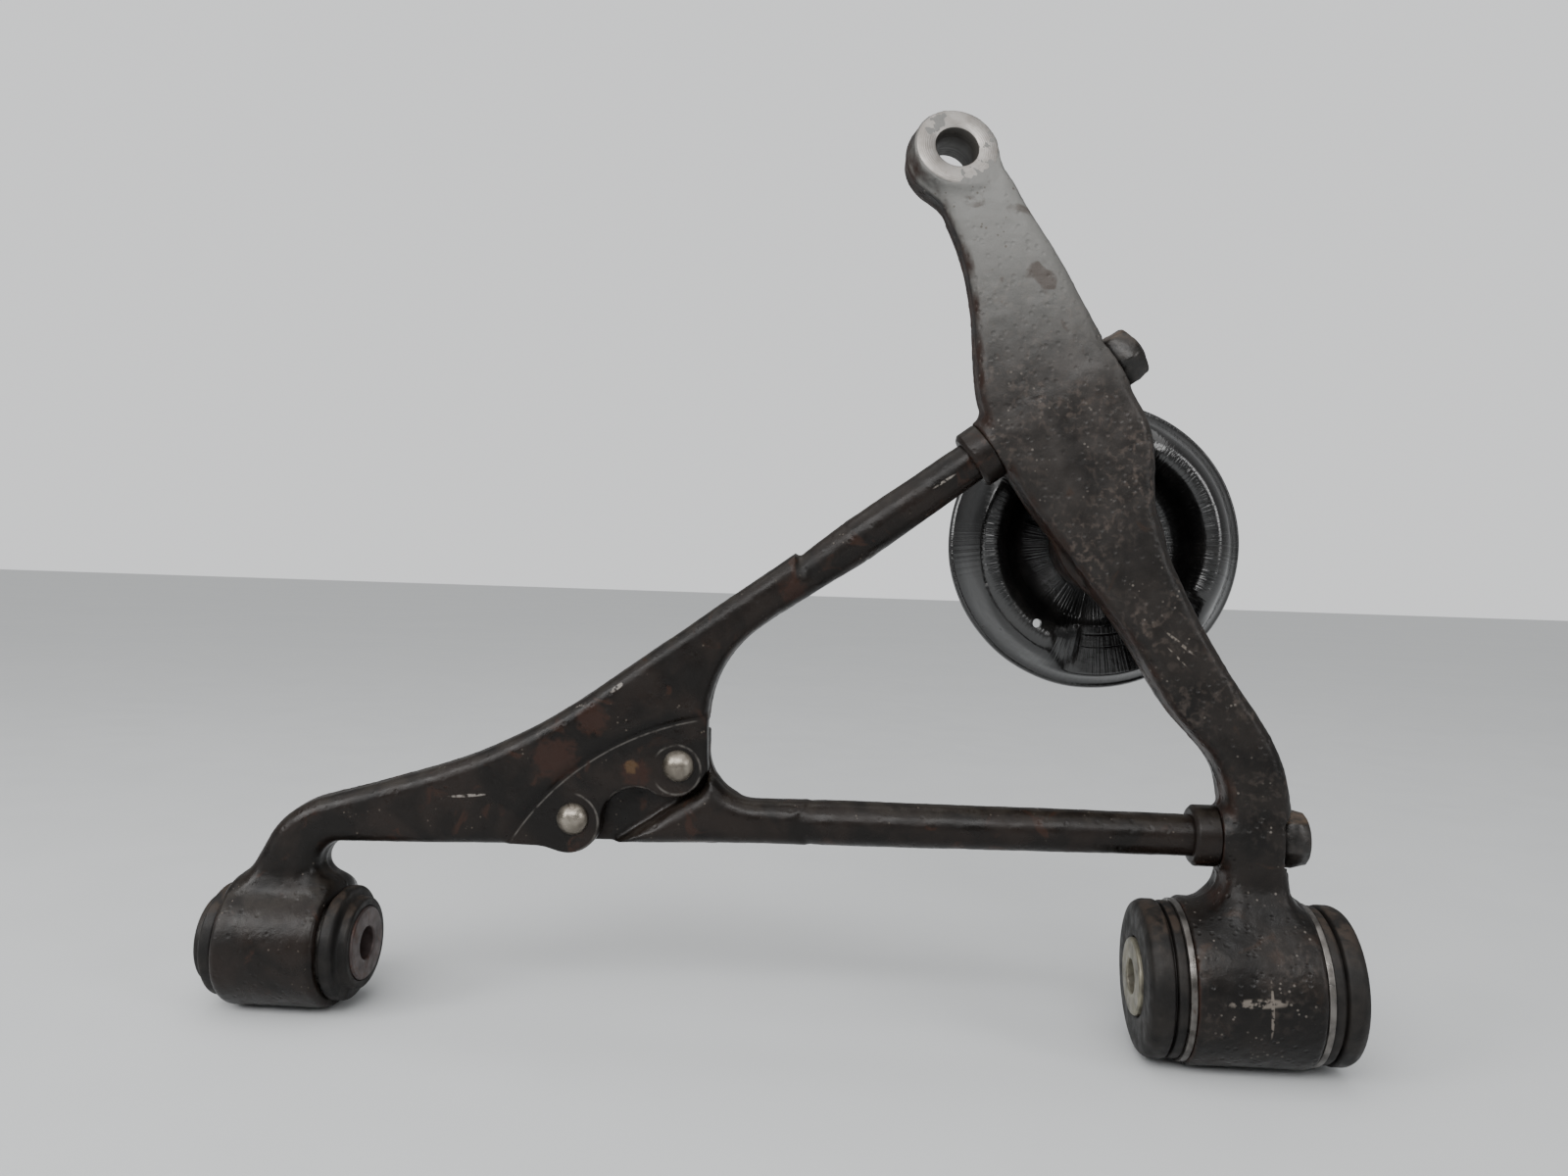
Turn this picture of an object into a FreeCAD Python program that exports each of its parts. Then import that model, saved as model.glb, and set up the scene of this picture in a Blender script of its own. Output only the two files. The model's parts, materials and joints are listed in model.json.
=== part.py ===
"""Front suspension lower control arm with a bolted brace.

Frame: X runs along the pivot axis from the front bush to the rear bush, Z runs from the pivot axis
up to the ball joint eye, and +Y points to the side that the coil spring stands on. The origin is
the middle of the rear bush. Lengths are millimetres and angles degrees.
"""
import FreeCAD, Part
import math
import os
import Sketcher

Vector = FreeCAD.Vector
Rotation = FreeCAD.Rotation
Placement = FreeCAD.Placement

ORIGIN_POINT = (-1, 1)
HORIZONTAL_AXIS = -1
VERTICAL_AXIS = -2
BOLT_COUNT = 3

DIMENSIONS = {
    # pivot axis and the eye of the ball joint
    "front_bush_x": -469,
    "eye_x": -143,
    "eye_z": 392,
    "eye_tilt_up": 16,
    "eye_tilt_side": 12,
    "eye_face_radius": 20.5,
    "eye_rib_radius": 22.5,
    "eye_thickness": 22,
    "eye_bore_radius": 10.4,
    "eye_chamfer": 0.8,
    # housings
    "rear_housing_radius": 38.5,
    "rear_housing_half": 28.5,
    "rear_bore_radius": 31,
    "front_housing_radius": 32,
    "front_housing_half": 26,
    "front_bore_radius": 26,
    "housing_chamfer": 2,
    # bushes
    "shell_wall": 2.5,
    "shell_flange": 3,
    "rear_flange_radius": 37.2,
    "rear_shell_gap": 2,
    "rear_groove_radius": 33.5,
    "rear_lip_start": 36.5,
    "rear_lip_groove": 1.5,
    "rear_lip_radius": 36.5,
    "rear_lip_end": 48.5,
    "rear_core_end": 50,
    "lip_round": 4,
    "core_radius": 18,
    "core_bore_radius": 8,
    "core_chamfer": 1,
    "running_gap": 0.05,
    "front_collar_radius": 28,
    "front_collar_end": 33.5,
    "front_neck_radius": 22.5,
    "front_neck_end": 39,
    "front_core_end": 40,
    "front_shell_end": 27,
    # rods of the brace
    "upper_rod_x": -197,
    "upper_rod_z": 199,
    "upper_rod_slope": 35.5,
    "upper_rod_start": -35,
    "upper_collar_start": 81,
    "upper_seat": 92,
    "upper_nut_seat": 162,
    "upper_rod_end": 177,
    "lower_rod_z": 69,
    "lower_rod_start": -234,
    "lower_collar_start": -24,
    "lower_seat": -12,
    "lower_nut_seat": 16,
    "lower_rod_end": 30,
    "rod_radius": 11,
    "rod_neck_radius": 9.8,
    "collar_radius": 14.5,
    "collar_chamfer": 1.5,
    "shank_radius": 8,
    "shank_clearance": 0.25,
    "seat_radius": 17,
    "boss_radius": 15.5,
    "nut_flats": 24,
    "nut_height": 13,
    "nut_chamfer": 1.6,
    # web of the brace
    "web_depth": 26,
    "web_bevel": 4,
    "palm_depth": 9,
    "stem_depth": 21,
    "stem_bevel": 2.5,
    "lobe_one_x": -324,
    "lobe_one_z": 66.5,
    "lobe_one_radius": 15,
    "lobe_two_x": -271,
    "lobe_two_z": 94,
    "lobe_two_radius": 12.5,
    "arch_x": -291,
    "arch_z": 67.5,
    "arch_radius": 17,
    # rivets of the lap joint
    "rivet_one_x": -322,
    "rivet_one_z": 68.5,
    "rivet_two_x": -270,
    "rivet_two_z": 96,
    "rivet_radius": 5,
    "rivet_head_radius": 8,
    "rivet_head_height": 5.5,
    "rivet_clearance": 0.1,
    # spring seat and its bolts
    "seat_x": -63,
    "seat_z": 208.5,
    "seat_sheet": 3.5,
    "seat_hub_y": 39,
    "seat_crest_y": 21.5,
    "seat_rim_y": 49,
    "seat_rim_radius": 75,
    "seat_hub_radius": 38,
    "seat_pad_radius": 24,
    "seat_bolt_ring": 13,
    "seat_bolt_radius": 4,
    "seat_bolt_depth": 24,
    "seat_bolt_flats": 13,
    "seat_bolt_head": 5.5,
    "drain_radius": 2,
    "drain_across": 31.3,
    "drain_down": 40.5,
}

# Stations of the forged arm, from the pivot axis outwards:
# x and z of the middle, lean of the beam from vertical, width in the arm's plane, depth along Y.
ARM_STATIONS = {
    "arm_root": (3, 8, 0, 44, 50),
    "arm_foot": (4, 36, 0, 36, 40),
    "arm_shank": (5, 50, 0, 30.5, 31),
    "arm_rod": (5, 69, 0, 30, 30),
    "arm_bend": (5, 88, -6, 30, 30),
    "arm_turn": (-2, 111, -27, 29.5, 30),
    "arm_slope": (-23, 139.5, -34, 33, 30),
    "arm_mid": (-42.5, 172.5, -32, 34.5, 30),
    "arm_seat": (-64, 210, -27, 46, 31),
    "arm_broad": (-80, 250, -17, 69, 33),
    "arm_shoulder": (-96.5, 284.5, -17, 66, 32),
    "arm_neck": (-110, 327, -21, 48.5, 29),
    "arm_throat": (-121, 354, -26, 38.5, 27),
    "arm_wrist": (-132, 376, -27, 35.5, 24),
    "arm_tip": (-141, 391, -25, 30, 18),
}
STATION_FIELDS = ("x", "z", "lean", "width", "depth")

# Outlines in the arm's plane: x, z and the radius of the arc to the next corner, 0 for a line.
# A positive radius bulges to the right of the direction of travel.
WEB_OUTLINE = [
    (-443, 26, 0),
    (-449, 33, -12),
    (-441, 52.5, 0),
    (-354, 54.5, -138),
    (-256, 119, -58),
    (-231.5, 164.5, 0),
    (-202, 186, 0),
    (-215, 200.7, 0),
    (-319, 127.5, -290),
    (-404, 88, 0),
    (-449, 75.2, 45),
    (-479, 52, 0),
    (-494, 26, 0),
]
PALM_OUTLINE = [
    (-355, 54.5, 0),
    (-324, 54, 0),
    (-289, 78, 0),
    (-269, 82, 0),
    (-256, 94, 0),
    (-256, 121, 0),
    (-306, 114, 0),
    (-349, 74, 0),
]
STEM_OUTLINE = [
    (-302, 56, 0),
    (-264, 57.5, 0),
    (-207, 58.5, 0),
    (-207, 79.5, 0),
    (-232, 79.5, -24),
    (-251.8, 90, 0),
    (-256.4, 91, -13),
    (-266, 79.5, 0),
]
STEM_PALM_OUTLINE = [
    (-342, 56, 0),
    (-252, 57, 0),
    (-234, 64, 0),
    (-242, 81, -24),
    (-256, 104, 0),
    (-256, 114, 0),
    (-300, 99, 0),
    (-327, 80, 0),
]
OUTLINES = {
    "web": WEB_OUTLINE,
    "palm": PALM_OUTLINE,
    "stem": STEM_OUTLINE,
    "stem_palm": STEM_PALM_OUTLINE,
}
OUTLINE_FIELDS = ("x", "z", "radius")


class Size:
    """A number together with the spreadsheet expression that gives it."""

    def __init__(self, value, text):
        self.value = value
        self.text = text

    def join(self, other, sign, value):
        return Size(value, "(%s %s %s)" % (self.text, sign, other.text))

    def __add__(self, other):
        other = as_size(other)
        return self.join(other, "+", self.value + other.value)

    def __sub__(self, other):
        other = as_size(other)
        return self.join(other, "-", self.value - other.value)

    def __mul__(self, factor):
        factor = as_size(factor)
        return self.join(factor, "*", self.value * factor.value)

    def __neg__(self):
        return self * -1


def as_size(number):
    """A Size from a plain number; a Size stays as it is."""
    return number if isinstance(number, Size) else Size(number, "(%r)" % number)


class Dims:
    """The sheet of driving dimensions, read as attributes that are Size objects."""

    def __init__(self, document):
        self.sheet = document.addObject("Spreadsheet::Sheet", "Dims")
        self.rows = 0

    def put(self, alias, value):
        self.rows += 1
        self.sheet.set("A%d" % self.rows, alias)
        self.sheet.set("B%d" % self.rows, str(value))
        self.sheet.setAlias("B%d" % self.rows, alias)
        setattr(self, alias, Size(value, "Dims." + alias))

    def get(self, *words):
        return getattr(self, "_".join(str(word) for word in words))


def fill_sheet(document):
    """Write every driving dimension, station and outline corner into the sheet."""
    dims = Dims(document)
    for alias, value in DIMENSIONS.items():
        dims.put(alias, value)
    for name, numbers in ARM_STATIONS.items():
        for field, value in zip(STATION_FIELDS, numbers):
            dims.put(name + "_" + field, value)
    for name, corners in OUTLINES.items():
        for index, numbers in enumerate(corners):
            for field, value in zip(OUTLINE_FIELDS, numbers):
                dims.put("%s_corner_%d_%s" % (name, index, field), value)
    document.recompute()
    return dims


# ---------------------------------------------------------------- sketches

def sketch_on(body, name, role, place=None):
    """A sketch on one of the body's own origin planes, moved by an attachment offset."""
    sketch = body.newObject("Sketcher::SketchObject", name)
    plane = next(item for item in body.Origin.OriginFeatures if item.Role == role)
    sketch.AttachmentSupport = [(plane, "")]
    sketch.MapMode = "FlatFace"
    if place is not None:
        sketch.AttachmentOffset = place
    return sketch


def bind(sketch, index, size):
    """Tie one constraint of a sketch to the sheet."""
    name = "size_%d" % index
    sketch.renameConstraint(index, name)
    sketch.setExpression("Constraints." + name, size.text)


def pin(sketch, geometry, point, across, up):
    """Hold a point of the sketch at (across, up) from the sketch's origin."""
    for kind, axis, size in (("DistanceX", VERTICAL_AXIS, across), ("DistanceY", HORIZONTAL_AXIS, up)):
        if abs(size.value) < 1e-9:
            sketch.addConstraint(Sketcher.Constraint("PointOnObject", geometry, point, axis))
            continue
        constraint = Sketcher.Constraint(kind, *ORIGIN_POINT, geometry, point, size.value)
        bind(sketch, sketch.addConstraint(constraint), size)


def arc_between(start, end, radius):
    """The short arc from start to end; a positive radius bulges to the right of the way."""
    chord = end - start
    middle = (start + end) * 0.5
    left = Vector(-chord.y, chord.x, 0).normalize()
    offset = math.sqrt(radius ** 2 - (chord.Length / 2) ** 2)
    centre = middle + left * math.copysign(offset, radius)
    angles = [math.atan2(p.y - centre.y, p.x - centre.x) for p in (start, end)]
    if radius < 0:
        angles.reverse()
    if angles[1] < angles[0]:
        angles[1] += 2 * math.pi
    circle = Part.Circle(centre, Vector(0, 0, 1), abs(radius))
    return Part.ArcOfCircle(circle, *angles)


def outline(sketch, corners):
    """A closed outline of lines and arcs; corners are (across, up) or (across, up, radius)."""
    corners = [[as_size(number) for number in corner] for corner in corners]
    points = [Vector(corner[0].value, corner[1].value, 0) for corner in corners]
    count = len(corners)
    ends = []
    for index, corner in enumerate(corners):
        start, end = points[index], points[(index + 1) % count]
        radius = corner[2] if len(corner) > 2 else as_size(0)
        if radius.value:
            geometry = sketch.addGeometry(arc_between(start, end, radius.value))
            ends.append((geometry, 1, 2) if radius.value > 0 else (geometry, 2, 1))
            constraint = Sketcher.Constraint("Radius", geometry, abs(radius.value))
            positive = radius if radius.value > 0 else -radius
            bind(sketch, sketch.addConstraint(constraint), positive)
        else:
            ends.append((sketch.addGeometry(Part.LineSegment(start, end)), 1, 2))
    for index, (geometry, first, _) in enumerate(ends):
        before, _, last = ends[index - 1]
        sketch.addConstraint(Sketcher.Constraint("Coincident", before, last, geometry, first))
        pin(sketch, geometry, first, corners[index][0], corners[index][1])
    return sketch


def circle(sketch, across, up, radius):
    """A circle whose centre and radius are tied to the sheet."""
    across, up, radius = as_size(across), as_size(up), as_size(radius)
    centre = Vector(across.value, up.value, 0)
    geometry = sketch.addGeometry(Part.Circle(centre, Vector(0, 0, 1), radius.value))
    bind(sketch, sketch.addConstraint(Sketcher.Constraint("Radius", geometry, radius.value)), radius)
    pin(sketch, geometry, 3, across, up)
    return sketch


def rounded_section(sketch, width, depth, radius):
    """A rectangle with round corners, centred on the sketch's origin."""
    side, front = width * 0.5, depth * 0.5
    return outline(sketch, [
        (side - radius, -front, radius),
        (side, radius - front),
        (side, front - radius, radius),
        (side - radius, front),
        (radius - side, front, radius),
        (-side, front - radius),
        (-side, radius - front, radius),
        (radius - side, -front),
    ])


# ---------------------------------------------------------------- features

def new_body(document, name):
    body = document.addObject("PartDesign::Body", name)
    body.Label = name
    return body


def pad(body, name, sketch, length, symmetric=False, backwards=False):
    """Pad a sketch; on the XZ plane forwards is towards -Y."""
    feature = body.newObject("PartDesign::Pad", name)
    feature.Profile = sketch
    feature.SideType = "Symmetric" if symmetric else "One side"
    feature.Reversed = backwards
    length = as_size(length)
    feature.Length = length.value
    feature.setExpression("Length", length.text)
    return feature


def pocket(body, name, sketch, length, symmetric=False):
    feature = body.newObject("PartDesign::Pocket", name)
    feature.Profile = sketch
    feature.SideType = "Symmetric" if symmetric else "One side"
    length = as_size(length)
    feature.Length = length.value
    feature.setExpression("Length", length.text)
    return feature


def turn(body, name, kind, role, corners, axis, place=None):
    """A Revolution or a Groove of an outline about the sketch's H_Axis or V_Axis."""
    sketch = outline(sketch_on(body, name + "_profile", role, place), corners)
    feature = body.newObject("PartDesign::" + kind, name)
    feature.Profile = sketch
    feature.ReferenceAxis = (sketch, [axis])
    feature.Angle = 360
    return feature


def turn_along_x(body, name, kind, corners, place=None):
    """Corners are (x, radius) about the pivot axis, or about a line beside it."""
    return turn(body, name, kind, "XY_Plane", corners, "H_Axis", place)


def beam(body, name, stations, round_share, dims):
    """A forged beam through rounded sections."""
    sections = []
    for station in stations:
        x, z, lean, width, depth = (dims.get(station, field) for field in STATION_FIELDS)
        place = Placement(Vector(x.value, 0, z.value), Rotation(Vector(0, 1, 0), lean.value))
        sketch = sketch_on(body, station, "XY_Plane", place)
        sketch.setExpression("AttachmentOffset.Base.x", x.text)
        sketch.setExpression("AttachmentOffset.Base.z", z.text)
        sections.append(rounded_section(sketch, width, depth, depth * round_share))
    feature = body.newObject("PartDesign::AdditiveLoft", name)
    feature.Profile = sections[0]
    feature.Sections = sections[1:]
    feature.Ruled = False
    feature.Closed = False
    return feature


def bevel_flat_faces(body, name, base, size):
    """Bevel every edge of the two faces that are square to Y."""
    body.Document.recompute()
    faces = []
    for index, face in enumerate(base.Shape.Faces):
        if abs(face.normalAt(0, 0).y) > 0.999:
            faces.append("Face%d" % (index + 1))
    feature = body.newObject("PartDesign::Chamfer", name)
    feature.Base = (base, faces)
    feature.Size = size.value
    feature.setExpression("Size", size.text)
    return feature


def box_corners(low, high, inner, outer):
    """A rectangle between two places along an axis and two radii."""
    return [(low, inner), (high, inner), (high, outer), (low, outer)]


def corners_of(name, dims):
    """The corners of one of the outlines in the sheet."""
    count = len(OUTLINES[name])
    return [[dims.get(name, "corner", index, field) for field in OUTLINE_FIELDS] for index in range(count)]


# ---------------------------------------------------------------- places

def eye_place(dims):
    """Frame at the middle of the eye whose Y axis is the bore, pointing to the machined face."""
    up = math.radians(dims.eye_tilt_up.value)
    side = math.radians(dims.eye_tilt_side.value)
    bore = Vector(math.tan(side), -1, math.tan(up)).normalize()
    turn_to_bore = Rotation(Vector(0, 1, 0), bore)
    return Placement(Vector(dims.eye_x.value, 0, dims.eye_z.value), turn_to_bore)


def upper_rod_place(dims):
    """Frame on the upper rod whose X axis is the rod."""
    base = Vector(dims.upper_rod_x.value, 0, dims.upper_rod_z.value)
    return Placement(base, Rotation(Vector(0, 1, 0), -dims.upper_rod_slope.value))


def lower_rod_place(dims):
    return Placement(Vector(0, 0, dims.lower_rod_z.value), Rotation())


def across_arm_place(x, z):
    """Frame whose Y axis passes through (x, z) of the arm's plane, square to that plane."""
    return Placement(Vector(x.value, 0, z.value), Rotation())


def front_bush_place(dims):
    return Placement(Vector(dims.front_bush_x.value, 0, 0), Rotation())


# ---------------------------------------------------------------- forgings

def housing(body, name, half, radius, dims, place=None):
    """The round housing of a bush, bevelled at both ends."""
    chamfer = dims.housing_chamfer
    return turn_along_x(body, name, "Revolution", [
        (-half, 0),
        (half, 0),
        (half, radius - chamfer),
        (half - chamfer, radius),
        (chamfer - half, radius),
        (-half, radius - chamfer),
    ], place)


def main_arm(document, dims):
    """Forged arm: rear bush housing at the foot, spring seat pad behind, ball joint eye at the tip."""
    body = new_body(document, "main_arm")
    beam(body, "arm_forging", ARM_STATIONS, 0.26, dims)
    housing(body, "rear_housing", dims.rear_housing_half, dims.rear_housing_radius, dims)
    half = dims.eye_thickness * 0.5
    turn(body, "eye_boss", "Revolution", "XY_Plane", [
        (0, -half),
        (dims.eye_face_radius, -half),
        (dims.eye_rib_radius, 0),
        (dims.eye_face_radius, half),
        (0, half),
    ], "V_Axis", eye_place(dims))
    turn_along_x(body, "upper_rod_boss", "Revolution",
                 box_corners(dims.upper_seat, dims.upper_nut_seat, 0, dims.boss_radius),
                 upper_rod_place(dims))
    turn_along_x(body, "lower_rod_boss", "Revolution",
                 box_corners(dims.lower_seat, dims.lower_nut_seat, 0, dims.boss_radius),
                 lower_rod_place(dims))
    turn(body, "spring_seat_pad", "Revolution", "XY_Plane",
         [(0, 0), (dims.seat_pad_radius, 0), (dims.seat_pad_radius, dims.seat_hub_y), (0, dims.seat_hub_y)],
         "V_Axis", across_arm_place(dims.seat_x, dims.seat_z))
    cut_arm_seats(body, dims)
    cut_arm_bores(body, dims)
    return body


def cut_arm_seats(body, dims):
    """Flat seats on the arm's flanks for the rods' collars and nuts."""
    beyond = 30
    for name, low, high, place in (
            ("upper_collar_seat", dims.upper_seat - beyond, dims.upper_seat, upper_rod_place(dims)),
            ("upper_nut_face", dims.upper_nut_seat, dims.upper_nut_seat + beyond, upper_rod_place(dims)),
            ("lower_collar_seat", dims.lower_seat - beyond, dims.lower_seat, lower_rod_place(dims)),
            ("lower_nut_face", dims.lower_nut_seat, dims.lower_nut_seat + beyond, lower_rod_place(dims))):
        turn_along_x(body, name, "Groove", box_corners(low, high, 0, dims.seat_radius), place)


def cut_arm_bores(body, dims):
    """Bores for the rear bush, the ball joint's pin, the two rods and the spring seat's bolts."""
    half = dims.rear_housing_half + 1
    turn_along_x(body, "rear_bore", "Groove", box_corners(-half, half, 0, dims.rear_bore_radius))
    half = dims.eye_thickness * 0.5
    bore, chamfer = dims.eye_bore_radius, dims.eye_chamfer
    turn(body, "eye_bore", "Groove", "XY_Plane", [
        (0, -half - 1),
        (bore + chamfer, -half - 1),
        (bore + chamfer, -half),
        (bore, chamfer - half),
        (bore, half - chamfer),
        (bore + chamfer, half),
        (bore + chamfer, half + 1),
        (0, half + 1),
    ], "V_Axis", eye_place(dims))
    drill = dims.shank_radius + dims.shank_clearance
    turn_along_x(body, "upper_rod_bore", "Groove",
                 box_corners(dims.upper_seat - 1, dims.upper_nut_seat + 1, 0, drill), upper_rod_place(dims))
    turn_along_x(body, "lower_rod_bore", "Groove",
                 box_corners(dims.lower_seat - 1, dims.lower_nut_seat + 1, 0, drill), lower_rod_place(dims))
    holes = sketch_on(body, "seat_bolt_circles", "XZ_Plane",
                      Placement(Vector(0, 0, -dims.seat_hub_y.value), Rotation()))
    for x, z in seat_bolt_centres(dims):
        circle(holes, x, z, dims.seat_bolt_radius + dims.rivet_clearance)
    pocket(body, "seat_bolt_holes", holes, dims.seat_bolt_depth + 1).Reversed = True


def seat_bolt_centres(dims):
    """Where the spring seat's bolts stand in the arm's plane."""
    for index in range(BOLT_COUNT):
        angle = math.radians(90 + index * 360 / BOLT_COUNT)
        across = dims.seat_bolt_ring * round(math.cos(angle), 6)
        up = dims.seat_bolt_ring * round(math.sin(angle), 6)
        yield dims.seat_x + across, dims.seat_z + up


def rod(body, name, start, collar, seat, end, place, dims):
    """A round rod that tapers to its collar and ends in a threaded shank."""
    chamfer = dims.collar_chamfer
    return turn_along_x(body, name, "Revolution", [
        (start, 0),
        (end, 0),
        (end, dims.shank_radius - 1),
        (end - 1, dims.shank_radius),
        (seat, dims.shank_radius),
        (seat, dims.collar_radius),
        (collar + chamfer, dims.collar_radius),
        (collar, dims.collar_radius - chamfer),
        (collar, dims.rod_neck_radius),
        (start, dims.rod_radius),
    ], place)


def brace_eye_link(document, dims):
    """Forged half of the brace: front bush eye, beam, riveted palm and upper rod."""
    body = new_body(document, "brace_eye_link")
    sketch = outline(sketch_on(body, "web_outline", "XZ_Plane"), corners_of("web", dims))
    web = pad(body, "web", sketch, dims.web_depth, symmetric=True)
    bevel_flat_faces(body, "web_edges", web, dims.web_bevel)
    housing(body, "front_housing", dims.front_housing_half, dims.front_housing_radius, dims,
            front_bush_place(dims))
    rod(body, "upper_rod", dims.upper_rod_start, dims.upper_collar_start, dims.upper_seat,
        dims.upper_rod_end, upper_rod_place(dims), dims)
    sketch = outline(sketch_on(body, "palm_outline", "XZ_Plane"), corners_of("palm", dims))
    pad(body, "palm", sketch, dims.palm_depth)
    for lobe in ("lobe_one", "lobe_two"):
        sketch = sketch_on(body, lobe + "_circle", "XZ_Plane")
        circle(sketch, dims.get(lobe, "x"), dims.get(lobe, "z"), dims.get(lobe, "radius"))
        pad(body, lobe, sketch, dims.palm_depth)
    sketch = circle(sketch_on(body, "arch_circle", "XZ_Plane"), dims.arch_x, dims.arch_z, dims.arch_radius)
    pocket(body, "arch", sketch, 60, symmetric=True)
    drill_rivet_holes(body, dims)
    half = dims.front_housing_half + 1
    turn_along_x(body, "front_bore", "Groove", box_corners(-half, half, 0, dims.front_bore_radius),
                 front_bush_place(dims))
    return body


def drill_rivet_holes(body, dims):
    sketch = sketch_on(body, "rivet_circles", "XZ_Plane")
    for rivet in ("rivet_one", "rivet_two"):
        circle(sketch, dims.get(rivet, "x"), dims.get(rivet, "z"), dims.rivet_radius + dims.rivet_clearance)
    pocket(body, "rivet_holes", sketch, 60, symmetric=True)


def brace_lower_rod(document, dims):
    """Forged half of the brace: palm behind the lap, stem and lower rod."""
    body = new_body(document, "brace_lower_rod")
    sketch = outline(sketch_on(body, "stem_outline", "XZ_Plane"), corners_of("stem", dims))
    stem = pad(body, "stem", sketch, dims.stem_depth, symmetric=True)
    bevel_flat_faces(body, "stem_edges", stem, dims.stem_bevel)
    sketch = outline(sketch_on(body, "stem_palm_outline", "XZ_Plane"), corners_of("stem_palm", dims))
    pad(body, "stem_palm", sketch, dims.palm_depth, backwards=True)
    rod(body, "lower_rod", dims.lower_rod_start, dims.lower_collar_start, dims.lower_seat,
        dims.lower_rod_end, lower_rod_place(dims), dims)
    drill_rivet_holes(body, dims)
    return body


# ---------------------------------------------------------------- fasteners

def brace_rivet(document, name, x, z, dims):
    """A rivet with a domed head in front of the lap and a flatter one behind it."""
    body = new_body(document, name)
    palm, height, head = dims.palm_depth, dims.rivet_head_height, dims.rivet_head_radius
    dome = (head.value ** 2 + height.value ** 2) / (2 * height.value) + 0.01
    turn(body, name + "_turned", "Revolution", "XY_Plane", [
        (0, -palm - height, dome),
        (head, -palm),
        (dims.rivet_radius, -palm),
        (dims.rivet_radius, palm),
        (head, palm),
        (head - 1.5, palm + 3.5),
        (0, palm + 3.5),
    ], "V_Axis", across_arm_place(x, z))
    return body


def hexagon(sketch, across, up, flats):
    """A hexagon that stands on a corner, given the distance across its flats."""
    reach = flats * (1 / math.sqrt(3))
    corners = []
    for index in range(6):
        angle = math.radians(30 + 60 * index)
        corners.append((across + reach * math.cos(angle), up + reach * math.sin(angle)))
    return outline(sketch, corners)


def rod_nut(document, name, seat, place, turned, dims):
    """A hexagon nut on the end of a rod, with its outer corners bevelled."""
    body = new_body(document, name)
    spin = Rotation(Vector(1, 0, 0), turned)
    base = place.multiply(Placement(Vector(seat.value, 0, 0), spin))
    to_rod = Placement(Vector(), Rotation(Vector(0, 1, 0), 90))
    sketch = sketch_on(body, name + "_hexagon", "XY_Plane", base.multiply(to_rod))
    pad(body, name + "_prism", hexagon(sketch, as_size(0), as_size(0), dims.nut_flats), dims.nut_height)
    flat, corner = dims.nut_flats * 0.5, dims.nut_flats * (1 / math.sqrt(3)) + 1
    height, chamfer = dims.nut_height, dims.nut_chamfer
    turn_along_x(body, name + "_bevel", "Groove", [
        (height + 1, flat - 0.4),
        (height, flat - 0.4),
        (height - chamfer, corner),
        (height + 1, corner),
    ], base)
    turn_along_x(body, name + "_thread", "Groove",
                 box_corners(as_size(-1), height + 1, 0, dims.shank_radius + dims.rivet_clearance), base)
    return body


def spring_seat_bolts(document, dims):
    """The bolts that hold the spring seat on the arm's pad: three separate solids in one node."""
    bolts = document.addObject("Part::MultiFuse", "spring_seat_bolts")
    bolts.Label = "spring_seat_bolts"
    solids = []
    hub_back = dims.seat_hub_y + dims.seat_sheet
    for index, (x, z) in enumerate(seat_bolt_centres(dims)):
        for kind, name in (("Part::Cylinder", "seat_bolt_shank_%d"), ("Part::Prism", "seat_bolt_head_%d")):
            solid = document.addObject(kind, name % index)
            solid.Placement = Placement(Vector(x.value, 0, z.value), Rotation(Vector(1, 0, 0), -90))
            solid.setExpression("Placement.Base.x", x.text)
            solid.setExpression("Placement.Base.z", z.text)
            solids.append(solid)
        shank, head = solids[-2:]
        shank.setExpression("Radius", dims.seat_bolt_radius.text)
        shank.setExpression("Height", (dims.seat_bolt_depth + dims.seat_sheet + 1).text)
        shank.setExpression("Placement.Base.y", (dims.seat_hub_y - dims.seat_bolt_depth).text)
        head.Polygon = 6
        head.setExpression("Circumradius", (dims.seat_bolt_flats * (1 / math.sqrt(3))).text)
        head.setExpression("Height", dims.seat_bolt_head.text)
        head.setExpression("Placement.Base.y", hub_back.text)
    bolts.Shapes = solids
    return bolts


# ---------------------------------------------------------------- spring seat

def spring_seat(document, dims):
    """Pressed dish: the spring stands in its ring-shaped channel, round a raised hub."""
    body = new_body(document, "spring_seat")
    sheet, hub, crest, rim = dims.seat_sheet, dims.seat_hub_y, dims.seat_crest_y, dims.seat_rim_y
    inner, outer = dims.seat_hub_radius, dims.seat_rim_radius
    turn(body, "dish", "Revolution", "XY_Plane", [
        (0, hub),
        (inner, hub, 5),
        (inner + 4.5, hub - 4),
        (inner + 8.5, crest + 6, -8),
        (inner + 16, crest, -10),
        (outer - 11, crest + 6.5),
        (outer - 3, rim - 4),
        (outer, rim - 2),
        (outer, rim),
        (outer - 4, rim),
        (outer - 7, rim - 4),
        (outer - 14.5, crest + 8.5, 7),
        (inner + 16, crest + sheet, 5),
        (inner + 12, crest + 7),
        (inner + 7.5, hub - 1.5, -8),
        (inner, hub + sheet),
        (0, hub + sheet),
    ], "V_Axis", across_arm_place(dims.seat_x, dims.seat_z))
    holes = sketch_on(body, "seat_holes", "XZ_Plane")
    for x, z in seat_bolt_centres(dims):
        circle(holes, x, z, dims.seat_bolt_radius + dims.rivet_clearance)
    circle(holes, dims.seat_x - dims.drain_across, dims.seat_z - dims.drain_down, dims.drain_radius)
    pocket(body, "seat_hole_cut", holes, 120, symmetric=True)
    return body


# ---------------------------------------------------------------- bushes

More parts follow.
